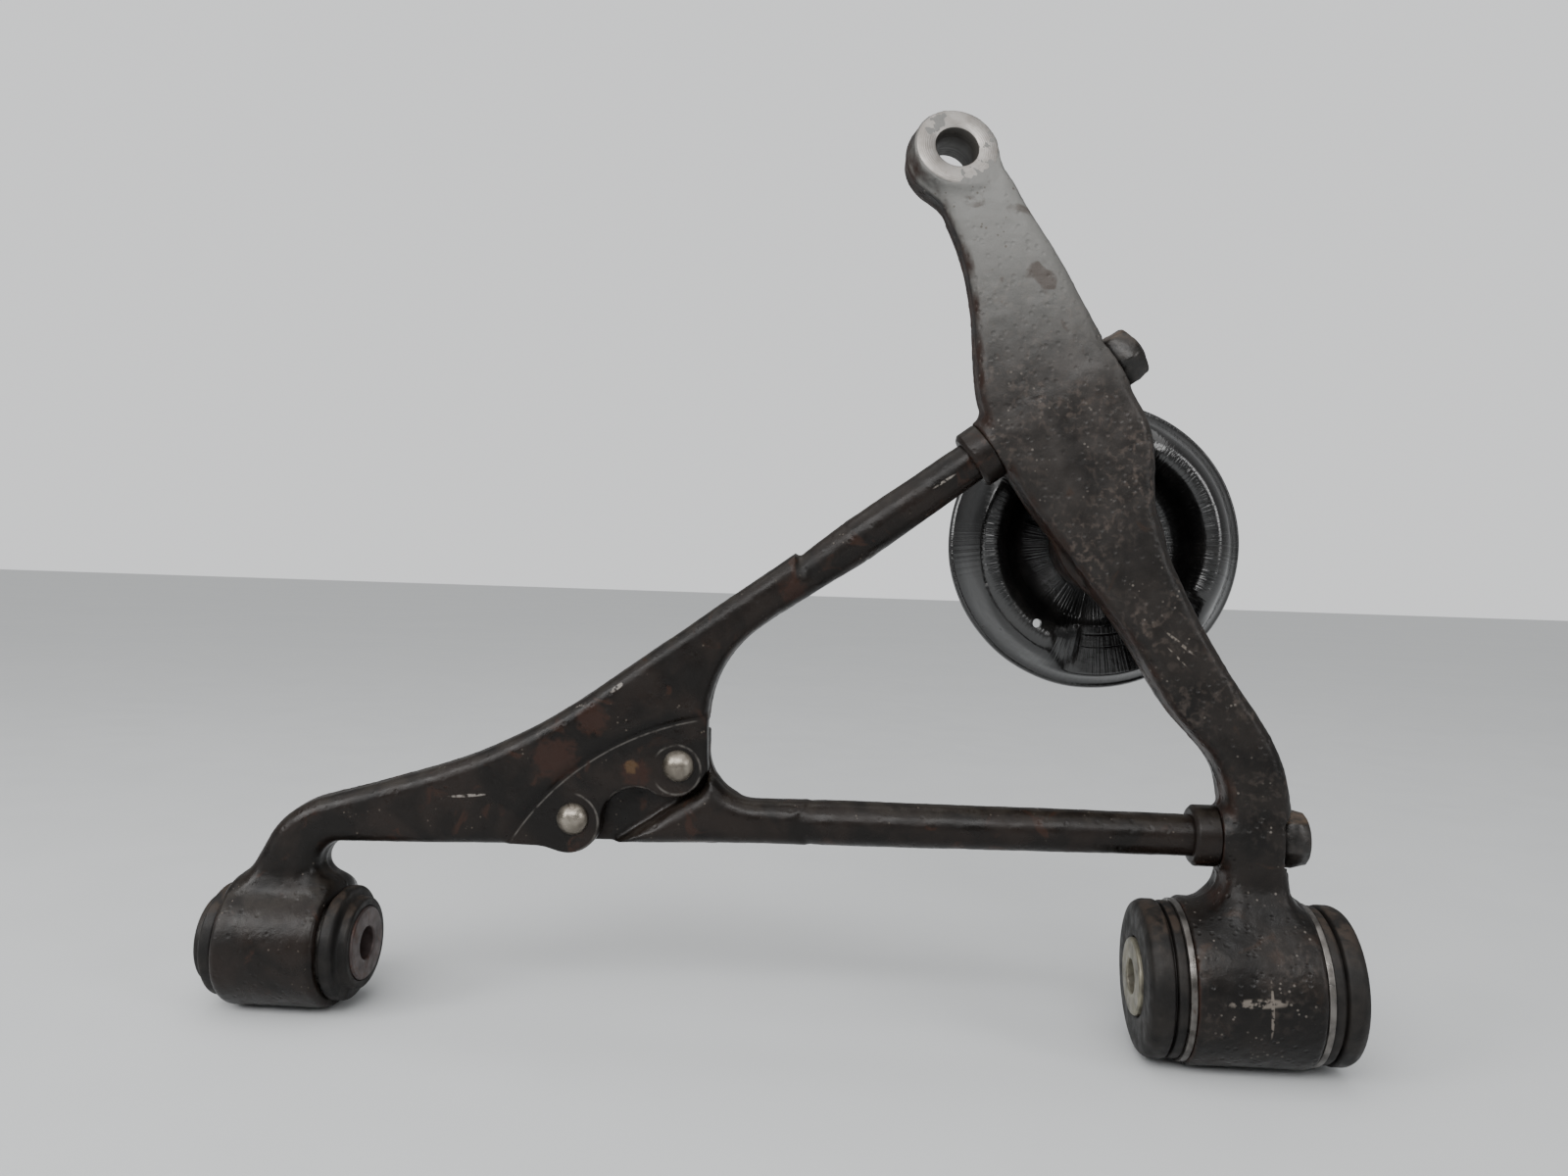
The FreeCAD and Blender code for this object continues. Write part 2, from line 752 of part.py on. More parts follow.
def shell(document, name, side, dims):
    """Flanged steel shell of one half of the rear bush; side is -1 or 1 along X."""
    body = new_body(document, name)
    bore = dims.rear_bore_radius
    start, stop = dims.rear_shell_gap, dims.rear_housing_half
    turn_along_x(body, name + "_turned", "Revolution", [(x * side, radius) for x, radius in [
        (start, bore - dims.shell_wall),
        (stop + dims.shell_flange, bore - dims.shell_wall),
        (stop + dims.shell_flange, dims.rear_flange_radius),
        (stop, dims.rear_flange_radius),
        (stop, bore),
        (start, bore),
    ]])
    return body


def rear_rubber(document, name, side, dims):
    """Rubber of one half of the rear bush, with a ridge, a groove and a thick rounded lip."""
    body = new_body(document, name)
    hole = dims.core_radius + dims.running_gap
    flange = dims.rear_housing_half + dims.shell_flange
    groove = dims.rear_lip_start + dims.rear_lip_groove
    lip, end, soft = dims.rear_lip_radius, dims.rear_lip_end, dims.lip_round
    turn_along_x(body, name + "_turned", "Revolution", [(x * side, radius) for x, radius in [
        (dims.rear_shell_gap, hole),
        (end, hole),
        (end, lip - soft),
        (end - soft * 0.4, lip - soft * 0.4),
        (end - soft, lip),
        (groove, lip),
        (groove, dims.rear_groove_radius),
        (dims.rear_lip_start, dims.rear_groove_radius),
        (dims.rear_lip_start, lip - 0.5),
        (flange, lip - 0.5),
        (flange, dims.rear_bore_radius - dims.shell_wall),
        (dims.rear_shell_gap, dims.rear_bore_radius - dims.shell_wall),
    ]])
    return body


def core_end(end, side, dims):
    """Bevelled end of a core, from its bore to its outside; side is -1 or 1 along X."""
    chamfer = dims.core_chamfer
    corners = [
        (end - chamfer * 0.5, dims.core_bore_radius),
        (end, dims.core_bore_radius + chamfer * 0.5),
        (end, dims.core_radius - chamfer),
        (end - chamfer, dims.core_radius),
    ]
    return [(x * side, radius) for x, radius in corners]


def rear_core(document, name, side, dims):
    """Steel core of one half of the rear bush; the halves meet in the middle of the bush."""
    body = new_body(document, name)
    middle = [(0, dims.core_radius), (0, dims.core_bore_radius)]
    turn_along_x(body, name + "_turned", "Revolution", core_end(dims.rear_core_end, side, dims) + middle)
    return body


def front_sleeve(document, dims):
    """Steel sleeve of the front bush, bevelled at both ends."""
    body = new_body(document, "front_bush_sleeve")
    right = core_end(dims.front_core_end, 1, dims)
    left = core_end(dims.front_core_end, -1, dims)
    turn_along_x(body, "front_sleeve_turned", "Revolution", right + left[::-1], front_bush_place(dims))
    return body


def front_shell(document, dims):
    body = new_body(document, "front_bush_shell")
    bore, end = dims.front_bore_radius, dims.front_shell_end
    turn_along_x(body, "front_shell_turned", "Revolution",
                 box_corners(-end, end, bore - dims.shell_wall, bore), front_bush_place(dims))
    return body


def front_rubber(document, dims):
    """Rubber of the front bush with a stepped lip at each end."""
    body = new_body(document, "front_bush_rubber")
    hole = dims.core_radius + dims.running_gap
    inside = dims.front_bore_radius - dims.shell_wall
    half = [
        (dims.front_neck_end, hole),
        (dims.front_neck_end, dims.front_neck_radius - 1),
        (dims.front_neck_end - 1, dims.front_neck_radius),
        (dims.front_collar_end, dims.front_neck_radius),
        (dims.front_collar_end, dims.front_collar_radius - 1.5),
        (dims.front_collar_end - 1.5, dims.front_collar_radius),
        (dims.front_shell_end, dims.front_collar_radius),
        (dims.front_shell_end, inside),
    ]
    mirrored = [(-x, radius) for x, radius in reversed(half)]
    turn_along_x(body, "front_rubber_turned", "Revolution", half + mirrored, front_bush_place(dims))
    return body


# ---------------------------------------------------------------- assembly

def build(document, dims):
    """Every sub-part of the control arm."""
    parts = [
        main_arm(document, dims),
        brace_eye_link(document, dims),
        brace_lower_rod(document, dims),
        brace_rivet(document, "brace_rivet_one", dims.rivet_one_x, dims.rivet_one_z, dims),
        brace_rivet(document, "brace_rivet_two", dims.rivet_two_x, dims.rivet_two_z, dims),
        rod_nut(document, "upper_rod_nut", dims.upper_nut_seat, upper_rod_place(dims), 12, dims),
        rod_nut(document, "lower_rod_nut", dims.lower_nut_seat, lower_rod_place(dims), 18, dims),
        spring_seat(document, dims),
        spring_seat_bolts(document, dims),
        front_shell(document, dims),
        front_rubber(document, dims),
        front_sleeve(document, dims),
    ]
    for word, side in (("left", -1), ("right", 1)):
        parts.append(shell(document, "rear_bush_shell_" + word, side, dims))
        parts.append(rear_rubber(document, "rear_bush_rubber_" + word, side, dims))
        parts.append(rear_core(document, "rear_bush_core_" + word, side, dims))
    return parts


def check(document, parts):
    """Stop if any feature failed or any sub-part has no valid shape."""
    for item in document.Objects:
        if "Invalid" in item.State or "Error" in item.State:
            raise RuntimeError("%s failed: %s" % (item.Label, item.State))
    for part in parts:
        if part.Shape.isNull() or not part.Shape.isValid():
            raise RuntimeError("%s has no valid shape" % part.Label)
        wanted = BOLT_COUNT if part.Label == "spring_seat_bolts" else 1
        if len(part.Shape.Solids) != wanted:
            raise RuntimeError("%s has %d solids" % (part.Label, len(part.Shape.Solids)))


def export(parts):
    os.makedirs("parts", exist_ok=True)
    for part in parts:
        shape = part.Shape
        shape.exportStep("parts/%s.step" % part.Label)
        size = (len(shape.Solids), shape.Volume, shape.BoundBox)
        print("%-22s %d solids, %10.1f mm3, box %s" % (part.Label, *size))


def main():
    document = FreeCAD.newDocument("ControlArm")
    dims = fill_sheet(document)
    parts = build(document, dims)
    document.recompute()
    check(document, parts)
    export(parts)


main()
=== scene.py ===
"""Visual model of a forged lower control arm with a riveted brace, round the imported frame.

Everything is in metres in the row's frame: X along the pivot axis, Z from the pivot axis up to the
ball joint eye, +Y to the spring's side. Forgings are built as distance fields and meshed with
OpenVDB, turned pieces are lathed, and every surface has a procedural material.
"""
import json
import math

import bmesh
import bpy
import numpy as np
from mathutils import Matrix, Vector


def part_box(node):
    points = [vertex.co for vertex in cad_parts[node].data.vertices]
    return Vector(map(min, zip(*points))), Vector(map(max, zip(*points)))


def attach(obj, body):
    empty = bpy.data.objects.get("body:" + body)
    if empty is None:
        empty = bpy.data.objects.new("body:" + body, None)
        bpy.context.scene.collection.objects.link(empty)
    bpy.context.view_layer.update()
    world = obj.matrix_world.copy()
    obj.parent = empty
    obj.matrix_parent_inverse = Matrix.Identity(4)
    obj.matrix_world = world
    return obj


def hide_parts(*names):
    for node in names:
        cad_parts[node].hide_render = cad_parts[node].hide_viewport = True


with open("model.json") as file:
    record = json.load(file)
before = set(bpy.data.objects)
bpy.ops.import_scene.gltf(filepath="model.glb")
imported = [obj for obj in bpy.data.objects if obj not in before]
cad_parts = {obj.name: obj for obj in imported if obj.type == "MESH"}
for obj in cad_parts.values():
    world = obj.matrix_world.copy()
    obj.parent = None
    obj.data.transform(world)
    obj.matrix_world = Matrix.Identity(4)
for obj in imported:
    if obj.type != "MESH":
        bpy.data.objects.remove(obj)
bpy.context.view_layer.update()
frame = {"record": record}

import openvdb
from mathutils import Matrix, Vector, noise

MM = 0.001
MOUNTS = {mount["name"]: mount for mount in frame["record"]["mounts"]}


def millimetres(vector):
    return [value / MM for value in vector]


def node_box(name):
    """Lowest and highest corner of a CAD node in millimetres."""
    low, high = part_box(name)
    return millimetres(low), millimetres(high)


# ---------------------------------------------------------------- sizes, in millimetres

FRONT_X = millimetres(MOUNTS["front_pivot_bore"]["pos_m"])[0]
EYE = millimetres(MOUNTS["ball_joint_eye"]["pos_m"])
EYE_AXIS = MOUNTS["ball_joint_eye"]["axis"]
EYE_BORE = MOUNTS["ball_joint_eye"]["dims"]["r_mm"]
EYE_HALF = 11
EYE_FACE_RADIUS = 20.5
EYE_RIB_RADIUS = 22.5
SEAT_CENTRE = millimetres(MOUNTS["spring_seat_channel"]["pos_m"])

REAR_RADIUS = 38.5
REAR_HALF = 28.5
REAR_BORE = 31
FRONT_RADIUS = 32
FRONT_HALF = 26
FRONT_BORE = 26

UPPER_ROD = {"base": (-197, 0, 199), "slope": 35.5, "collar": 81, "seat": 92, "nut": 162, "end": 177}
LOWER_ROD = {"base": (0, 0, 69), "slope": 0, "collar": -24, "seat": -12, "nut": 16, "end": 30}
ROD_RADIUS = 11
ROD_NECK = 9.8
COLLAR_RADIUS = 14.5
SHANK_RADIUS = 8
NUT_FLATS = 24
NUT_HEIGHT = 13

# Stations of the forged arm: x and z of the middle, lean from vertical, width, depth.
ARM_STATIONS = [
    (3, 8, 0, 44, 50),
    (4, 36, 0, 36, 40),
    (5, 50, 0, 30.5, 31),
    (5, 69, 0, 30, 30),
    (5, 88, -6, 30, 30),
    (-2, 111, -27, 29.5, 30),
    (-23, 139.5, -34, 33, 30),
    (-42.5, 172.5, -32, 34.5, 30),
    (-64, 210, -27, 46, 31),
    (-80, 250, -17, 69, 33),
    (-96.5, 284.5, -17, 66, 32),
    (-110, 327, -21, 48.5, 29),
    (-121, 354, -26, 38.5, 27),
    (-132, 376, -27, 35.5, 24),
    (-141, 391, -25, 30, 18),
]

# Outlines in the arm's plane: x, z and the radius of the arc to the next corner, 0 for a line.
# A positive radius bulges to the right of the direction of travel.
WEB_OUTLINE = [
    (-443, 26, 0),
    (-449, 33, -12),
    (-441, 52.5, 0),
    (-354, 54.5, -138),
    (-256, 119, -58),
    (-231.5, 164.5, 0),
    (-202, 186, 0),
    (-215, 200.7, 0),
    (-319, 127.5, -290),
    (-404, 88, 0),
    (-449, 75.2, 45),
    (-479, 52, 0),
    (-494, 26, 0),
]
PALM_OUTLINE = [
    (-355, 54.5, 0),
    (-324, 54, 0),
    (-289, 78, 0),
    (-269, 82, 0),
    (-256, 94, 0),
    (-256, 121, 0),
    (-306, 114, 0),
    (-349, 74, 0),
]
STEM_OUTLINE = [
    (-302, 56, 0),
    (-264, 57.5, 0),
    (-207, 58.5, 0),
    (-207, 79.5, 0),
    (-232, 79.5, -24),
    (-251.8, 90, 0),
    (-256.4, 91, -13),
    (-266, 79.5, 0),
]
STEM_PALM_OUTLINE = [
    (-342, 56, 0),
    (-252, 57, 0),
    (-234, 64, 0),
    (-242, 81, -24),
    (-256, 104, 0),
    (-256, 114, 0),
    (-300, 99, 0),
    (-327, 80, 0),
]
WEB_HALF = 13
STEM_HALF = 10.5
PALM_DEPTH = 9
LOBES = [(-324, 66.5, 15), (-271, 94, 12.5)]
ARCH = (-291, 67.5, 17)
RIVETS = [(-322, 68.5), (-270, 96)]
RIVET_HEAD = 8
RIVET_HEIGHT = 5.5


# ---------------------------------------------------------------- outlines

def arc_centre(start, end, radius):
    """Centre of the short arc from start to end; positive bulges to the right."""
    start, end = np.array(start, float), np.array(end, float)
    chord = end - start
    length = np.linalg.norm(chord)
    left = np.array([-chord[1], chord[0]]) / length
    offset = math.sqrt(radius ** 2 - (length / 2) ** 2)
    return (start + end) / 2 + left * math.copysign(offset, radius)


def arc_points(start, end, radius, step):
    """Points of the short arc from start to end, without its end; positive bulges to the right."""
    centre = arc_centre(start, end, radius)
    first, last = (math.atan2(*(p - centre)[::-1]) for p in (start, end))
    sweep = (last - first + math.pi) % (2 * math.pi) - math.pi
    count = max(2, round(abs(sweep * radius) / step))
    angles = first + sweep * np.arange(count) / count
    return [centre + abs(radius) * np.array([math.cos(a), math.sin(a)]) for a in angles]


def outline_points(corners, step=2.0):
    """Corner points of an outline with its arcs as short chords."""
    points = []
    for index, (x, z, radius) in enumerate(corners):
        start = np.array([x, z], float)
        end = np.array(corners[(index + 1) % len(corners)][:2], float)
        points += arc_points(start, end, radius, step) if radius else [start]
    return np.array(points)


def smooth_rows(rows, count):
    """Catmull-Rom interpolation of table rows, count steps to each interval."""
    rows = np.array(rows, float)
    padded = np.vstack([2 * rows[0] - rows[1], rows, 2 * rows[-1] - rows[-2]])
    result = []
    for index in range(len(rows) - 1):
        before, first, second, after = padded[index:index + 4]
        for t in np.arange(count) / count:
            result.append(0.5 * (2 * first + (second - before) * t
                                 + (2 * before - 5 * first + 4 * second - after) * t ** 2
                                 + (3 * first - before - 3 * second + after) * t ** 3))
    result.append(rows[-1])
    return np.array(result)


# ---------------------------------------------------------------- distance fields

class Field:
    """A block of space in millimetres, on which shapes are signed distances."""

    def __init__(self, low, high, step):
        self.low = np.array(low, np.float32)
        self.step = step
        axes = [np.arange(a, b + step, step, dtype=np.float32) for a, b in zip(low, high)]
        self.x = axes[0][:, None, None]
        self.y = axes[1][None, :, None]
        self.z = axes[2][None, None, :]

    def polygon(self, points):
        """Distance in the XZ plane to a closed outline, negative inside."""
        x, z = self.x[:, :, 0], self.z[:, 0, :]
        nearest = np.full((x.shape[0], z.shape[1]), 1e9, np.float32)
        inside = np.zeros(nearest.shape, bool)
        for (ax, az), (bx, bz) in zip(points, np.roll(points, -1, axis=0)):
            dx, dz = bx - ax, bz - az
            t = np.clip(((x - ax) * dx + (z - az) * dz) / (dx * dx + dz * dz + 1e-9), 0, 1)
            nearest = np.minimum(nearest, (x - ax - t * dx) ** 2 + (z - az - t * dz) ** 2)
            if az != bz:
                crosses = (az > z) != (bz > z)
                inside ^= crosses & (x < dx * (z - az) / dz + ax)
        distance = np.sqrt(nearest)
        return np.where(inside, -distance, distance)[:, None, :]

    def slab(self, outline, low, high, round_by):
        """An outline extruded along Y from low to high with rounded edges."""
        middle, half = (low + high) / 2, (high - low) / 2
        return rounded(outline, np.abs(self.y - middle) - half, round_by)

    def rod(self, base, axis, low, high, radius, round_by, end_radius=None):
        """A cylinder or a cone about an axis, between two stations along it."""
        axis = np.array(axis, np.float32) / np.linalg.norm(axis)
        parts = (self.x - base[0], self.y - base[1], self.z - base[2])
        along = sum(part * a for part, a in zip(parts, axis))
        radial = np.sqrt(np.maximum(sum(part ** 2 for part in parts) - along ** 2, 0))
        if end_radius is not None:
            share = np.clip((along - low) / (high - low), 0, 1)
            radius = radius + (end_radius - radius) * share
        return rounded(radial - radius, np.abs(along - (low + high) / 2) - (high - low) / 2, round_by)

    def mesh(self, name, distance):
        """The zero surface of a distance field as a mesh in metres."""
        grid = openvdb.FloatGrid(3 * self.step)
        grid.copyFromArray(np.clip(distance, -3 * self.step, 3 * self.step).astype(np.float32))
        points, quads = grid.convertToQuads(0.0)
        mesh = bpy.data.meshes.new(name)
        mesh.from_pydata((self.low + points * self.step) * MM, [], quads.tolist())
        mesh.validate()
        return mesh


def rounded(across, along, round_by):
    """Intersection of two distances with an edge of radius round_by."""
    first, second = across + round_by, along + round_by
    outside = np.sqrt(np.maximum(first, 0) ** 2 + np.maximum(second, 0) ** 2)
    return np.minimum(np.maximum(first, second), 0) + outside - round_by


def blend(first, second, radius):
    """Union of two distances with a fillet."""
    share = np.clip(0.5 + 0.5 * (second - first) / radius, 0, 1)
    return second + (first - second) * share - radius * share * (1 - share)


def cut(distance, tool):
    return np.maximum(distance, -tool)


def carve(distance, tool, radius):
    """Cut with a rounded edge."""
    return -blend(-distance, tool, radius)


# ---------------------------------------------------------------- pieces

def add_piece(name, mesh, body, nodes=(), materials=()):
    """Put a mesh in the scene on a CAD body, smooth, with its materials."""
    piece = bpy.data.objects.new(name, mesh)
    bpy.context.scene.collection.objects.link(piece)
    mesh.shade_smooth()
    for material in materials:
        mesh.materials.append(material)
    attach(piece, body)
    if nodes:
        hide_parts(*nodes)
    return piece


def closed_mesh(name, verts, faces, place):
    """A mesh moved to its place, with its poles merged and its normals outward."""
    mesh = bpy.data.meshes.new(name)
    mesh.from_pydata(verts, [], faces)
    mesh.transform(place)
    work = bmesh.new()
    work.from_mesh(mesh)
    bmesh.ops.remove_doubles(work, verts=work.verts, dist=0.03 * MM)
    bmesh.ops.recalc_face_normals(work, faces=work.faces)
    work.to_mesh(mesh)
    work.free()
    return mesh


def roughen(mesh, coarse, fine, seed):
    """Move a forging's points along their normals as hammer scale and die wear do, in millimetres."""
    mesh.update()
    count = len(mesh.vertices)
    places = np.empty(count * 3, np.float32)
    normals = np.empty(count * 3, np.float32)
    mesh.vertices.foreach_get("co", places)
    mesh.vertices.foreach_get("normal", normals)
    shift = Vector((seed, seed * 0.7, -seed))
    heights = np.empty(count, np.float32)
    for index, place in enumerate(places.reshape(-1, 3)):
        point = Vector(place) / MM
        wave = noise.noise(point / 24 + shift)
        grain = noise.fractal(point / 5 + shift, 0.8, 2.1, 3)
        heights[index] = coarse * wave + fine * grain
    places = places.reshape(-1, 3) + normals.reshape(-1, 3) * heights[:, None] * MM
    mesh.vertices.foreach_set("co", places.ravel())
    mesh.update()


def rod_frame(rod):
    """Base and direction of a rod in the arm's plane."""
    slope = math.radians(rod["slope"])
    return rod["base"], (math.cos(slope), 0, math.sin(slope))


def placed_along(base, axis):
    """Matrix whose Z axis is the given axis and whose origin is base, in metres."""
    turn = Vector(axis).to_track_quat("Z", "Y")
    return Matrix.LocRotScale(Vector(base) * MM, turn, None)


def lathe(name, profile, place, segments=128, closed=True):
    """A turned mesh: profile holds (along, radius) in millimetres, place maps its Z axis."""
    angles = np.arange(segments) * 2 * math.pi / segments
    verts, faces = [], []
    for along, radius in profile:
        for angle in angles:
            verts.append((radius * math.cos(angle) * MM, radius * math.sin(angle) * MM, along * MM))
    rows = len(profile)
    for row in range(rows if closed else rows - 1):
        start, above = row * segments, ((row + 1) % rows) * segments
        for column in range(segments):
            after = (column + 1) % segments
            faces.append((start + column, start + after, above + after, above + column))
    return closed_mesh(name, verts, faces, place)


def softened(profile, radius, steps=4):
    """A profile with its corners rounded; corners with less room get a smaller radius."""
    points = [np.array(point, float) for point in profile]
    count = len(points)
    result = []
    for index, corner in enumerate(points):
        before, after = points[index - 1] - corner, points[(index + 1) % count] - corner
        reach = min(radius, 0.45 * np.linalg.norm(before), 0.45 * np.linalg.norm(after))
        start = corner + before / np.linalg.norm(before) * reach
        end = corner + after / np.linalg.norm(after) * reach
        for t in np.arange(steps + 1) / steps:
            result.append(tuple((1 - t) ** 2 * start + 2 * t * (1 - t) * corner + t ** 2 * end))
    return result


# ---------------------------------------------------------------- forged arm

def arm_edges():
    """Outline of the beam and its half depth along Z, from the smoothed stations."""
    rows = smooth_rows(ARM_STATIONS, 8)
    lean = np.radians(rows[:, 2])
    across = np.stack([np.cos(lean), -np.sin(lean)], axis=1) * rows[:, 3:4] / 2
    middle = rows[:, :2]
    outline = np.vstack([middle + across, (middle - across)[::-1]])
    return outline, rows[:, 1], rows[:, 4] / 2


def forged_outline(field, outline, draft, flash):
    """A forging's outline with drafted flanks and a thin flash line at its parting plane."""
    drafted = field.polygon(outline) + draft * np.abs(field.y)
    return drafted - flash * np.exp(-(field.y / 0.9) ** 2)


def eye_boss(field):
    """Ball joint boss: two cones that meet at the parting plane."""
    back = [-v for v in EYE_AXIS]
    halves = [field.rod(EYE, axis, -2, EYE_HALF, EYE_RIB_RADIUS, 1.2, EYE_FACE_RADIUS)
              for axis in (EYE_AXIS, back)]
    return np.minimum(*halves)


def cut_seats(field, distance, rod):
    """Flat seats for a rod's collar and nut, and the bore between them."""
    base, axis = rod_frame(rod)
    for low, high in ((rod["seat"] - 30, rod["seat"]), (rod["nut"], rod["nut"] + 30)):
        distance = cut(distance, field.rod(base, axis, low, high, COLLAR_RADIUS + 2.5, 0))
    return cut(distance, field.rod(base, axis, rod["seat"] - 5, rod["nut"] + 5, SHANK_RADIUS + 0.3, 0))


def arm_forging():
    """Main arm: beam, rear housing, eye boss, rod bosses and the pad of the spring seat."""
    field = Field((-172, -44, -44), (36, 44, 420), 1.1)
    outline, heights, halves = arm_edges()
    half = np.interp(field.z, heights, halves).astype(np.float32)
    side = forged_outline(field, outline, 0.07, 0.5)
    beam = rounded(side, np.abs(field.y) - half, 6.5)
    housing = field.rod((0, 0, 0), (1, 0, 0), -REAR_HALF, REAR_HALF, REAR_RADIUS, 2.5)
    shape = blend(beam, housing, 11)
    shape = blend(shape, eye_boss(field), 6)
    for rod in (UPPER_ROD, LOWER_ROD):
        base, axis = rod_frame(rod)
        boss = field.rod(base, axis, rod["seat"], rod["nut"], COLLAR_RADIUS + 0.5, 1)
        shape = blend(shape, boss, 5)
    pad_depth = node_box("spring_seat")[1][1] - 10
    pad = field.rod((SEAT_CENTRE[0], 0, SEAT_CENTRE[2]), (0, 1, 0), 0, pad_depth, 24, 1)
    shape = blend(shape, pad, 7)
    for rod in (UPPER_ROD, LOWER_ROD):
        shape = cut_seats(field, shape, rod)
    shape = cut(shape, field.rod((0, 0, 0), (1, 0, 0), -REAR_HALF - 9, REAR_HALF + 9, REAR_BORE, 0))
    for low, high in ((EYE_HALF, EYE_HALF + 30), (-EYE_HALF - 30, -EYE_HALF)):
        shape = cut(shape, field.rod(EYE, EYE_AXIS, low, high, EYE_RIB_RADIUS + 3, 0))
    shape = cut(shape, field.rod(EYE, EYE_AXIS, -20, 20, EYE_BORE + 0.3, 0))
    mesh = field.mesh("arm_forging", shape)
    roughen(mesh, 0.45, 0.2, 3.1)
    return mesh


# ---------------------------------------------------------------- forged brace

def brace_rod(field, rod, start, lead, shape):
    """Round bar up to its collar, with a cone of length lead that brings it out of the web."""
    base, axis = rod_frame(rod)
    bar = field.rod(base, axis, start, rod["collar"] + ROD_NECK, ROD_RADIUS, 0.3, ROD_NECK)
    cone = field.rod(base, axis, start - lead, start + 0.5, ROD_RADIUS - 3, 2, ROD_RADIUS)
    return blend(shape, np.minimum(bar, cone), 2)


def eye_link_forging():
    """Brace half with the front housing: neck, web, riveted palm and upper rod."""
    field = Field((-500, -36, -36), (-110, 36, 270), 1.1)
    side = forged_outline(field, outline_points(WEB_OUTLINE), 0.05, 0.4)
    half = np.interp(field.x, (-262, -206), (WEB_HALF, ROD_RADIUS - 0.6)).astype(np.float32)
    web = rounded(side, np.abs(field.y) - half, 7.5)
    palm_side = field.polygon(outline_points(PALM_OUTLINE))
    for x, z, radius in LOBES:
        lobe = np.hypot(field.x - x, field.z - z) - radius
        palm_side = blend(palm_side, lobe, 5)
    palm = field.slab(palm_side, -PALM_DEPTH, 0, 1.6)
    shape = blend(web, palm, 1.2)
    arch = np.hypot(field.x - ARCH[0], field.z - ARCH[1]) - ARCH[2]
    shape = carve(shape, arch, 3)
    housing = field.rod((FRONT_X, 0, 0), (1, 0, 0), -FRONT_HALF, FRONT_HALF, FRONT_RADIUS, 3)
    shape = blend(shape, housing, 12)
    shape = brace_rod(field, UPPER_ROD, 14, 50, shape)
    shape = cut(shape, field.rod((FRONT_X, 0, 0), (1, 0, 0), -40, 40, FRONT_BORE, 0))
    mesh = field.mesh("eye_link_forging", shape)
    roughen(mesh, 0.3, 0.1, 8.3)
    return mesh


def lower_rod_forging():
    """Brace half behind the lap: palm, stem and lower rod."""
    field = Field((-346, -16, 40), (-20, 16, 120), 1.1)
    side = forged_outline(field, outline_points(STEM_OUTLINE), 0.05, 0.3)
    stem = rounded(side, np.abs(field.y) - STEM_HALF, 8)
    palm = field.slab(field.polygon(outline_points(STEM_PALM_OUTLINE)), 0.3, PALM_DEPTH, 1.6)
    shape = blend(stem, palm, 3)
    shape = brace_rod(field, LOWER_ROD, -200, 45, shape)
    mesh = field.mesh("lower_rod_forging", shape)
    roughen(mesh, 0.25, 0.1, 5.7)
    return mesh


def thread_profile(low, high, radius, pitch=1.5, depth=0.7):
    """Crests and roots of a thread along a shank."""
    points = []
    for along in np.arange(low, high, pitch):
        points += [(along, radius - depth), (along + pitch / 2, radius)]
    return points


def rod_end(name, rod):
    """Collar, shank and thread of a rod, turned after forging."""
    thread_start = rod["nut"] - 4
    collar = softened([
        (rod["collar"], ROD_NECK - 1),
        (rod["collar"], COLLAR_RADIUS - 1.8),
        (rod["collar"] + 1.8, COLLAR_RADIUS),
        (rod["seat"] - 0.6, COLLAR_RADIUS),
        (rod["seat"], COLLAR_RADIUS - 0.6),
        (rod["seat"], SHANK_RADIUS),
        (thread_start, SHANK_RADIUS),
    ], 0.5)[5:]
    thread = thread_profile(thread_start + 0.5, rod["end"] - 1, SHANK_RADIUS)
    tip = [(rod["end"], SHANK_RADIUS - 1.4), (rod["end"], 0.01)]
    profile = [(rod["collar"], 0.01)] + collar + thread + tip
    base, axis = rod_frame(rod)
    return lathe(name, profile, placed_along(base, axis), 96, closed=False)


# ---------------------------------------------------------------- fasteners

def rivet_mesh(name, x, z):
    """Rivet with a domed head in front and a flat one behind."""
    head, height, palm = RIVET_HEAD, RIVET_HEIGHT, PALM_DEPTH
    dome_radius = (head ** 2 + height ** 2) / (2 * height)
    dome = []
    for share in np.linspace(0.02, 1, 14):
        radius = head * share
        dome.append((palm + math.sqrt(dome_radius ** 2 - radius ** 2) - dome_radius + height, radius))
    profile = dome + [(palm, 5), (-palm, 5), (-palm, head), (-palm - 2.6, head - 0.8),
                      (-palm - 3.5, head - 2.5), (-palm - 3.5, 0.01)]
    mesh = lathe(name, profile, placed_along((x, 0, z), (0, -1, 0)), 48, closed=False)
    roughen(mesh, 0.25, 0.12, x)
    return mesh


def hexagon_radius(angle, flats):
    """Radius of a hexagon at an angle from one of its corners."""
    return flats / 2 / math.cos((angle % (math.pi / 3)) - math.pi / 6)


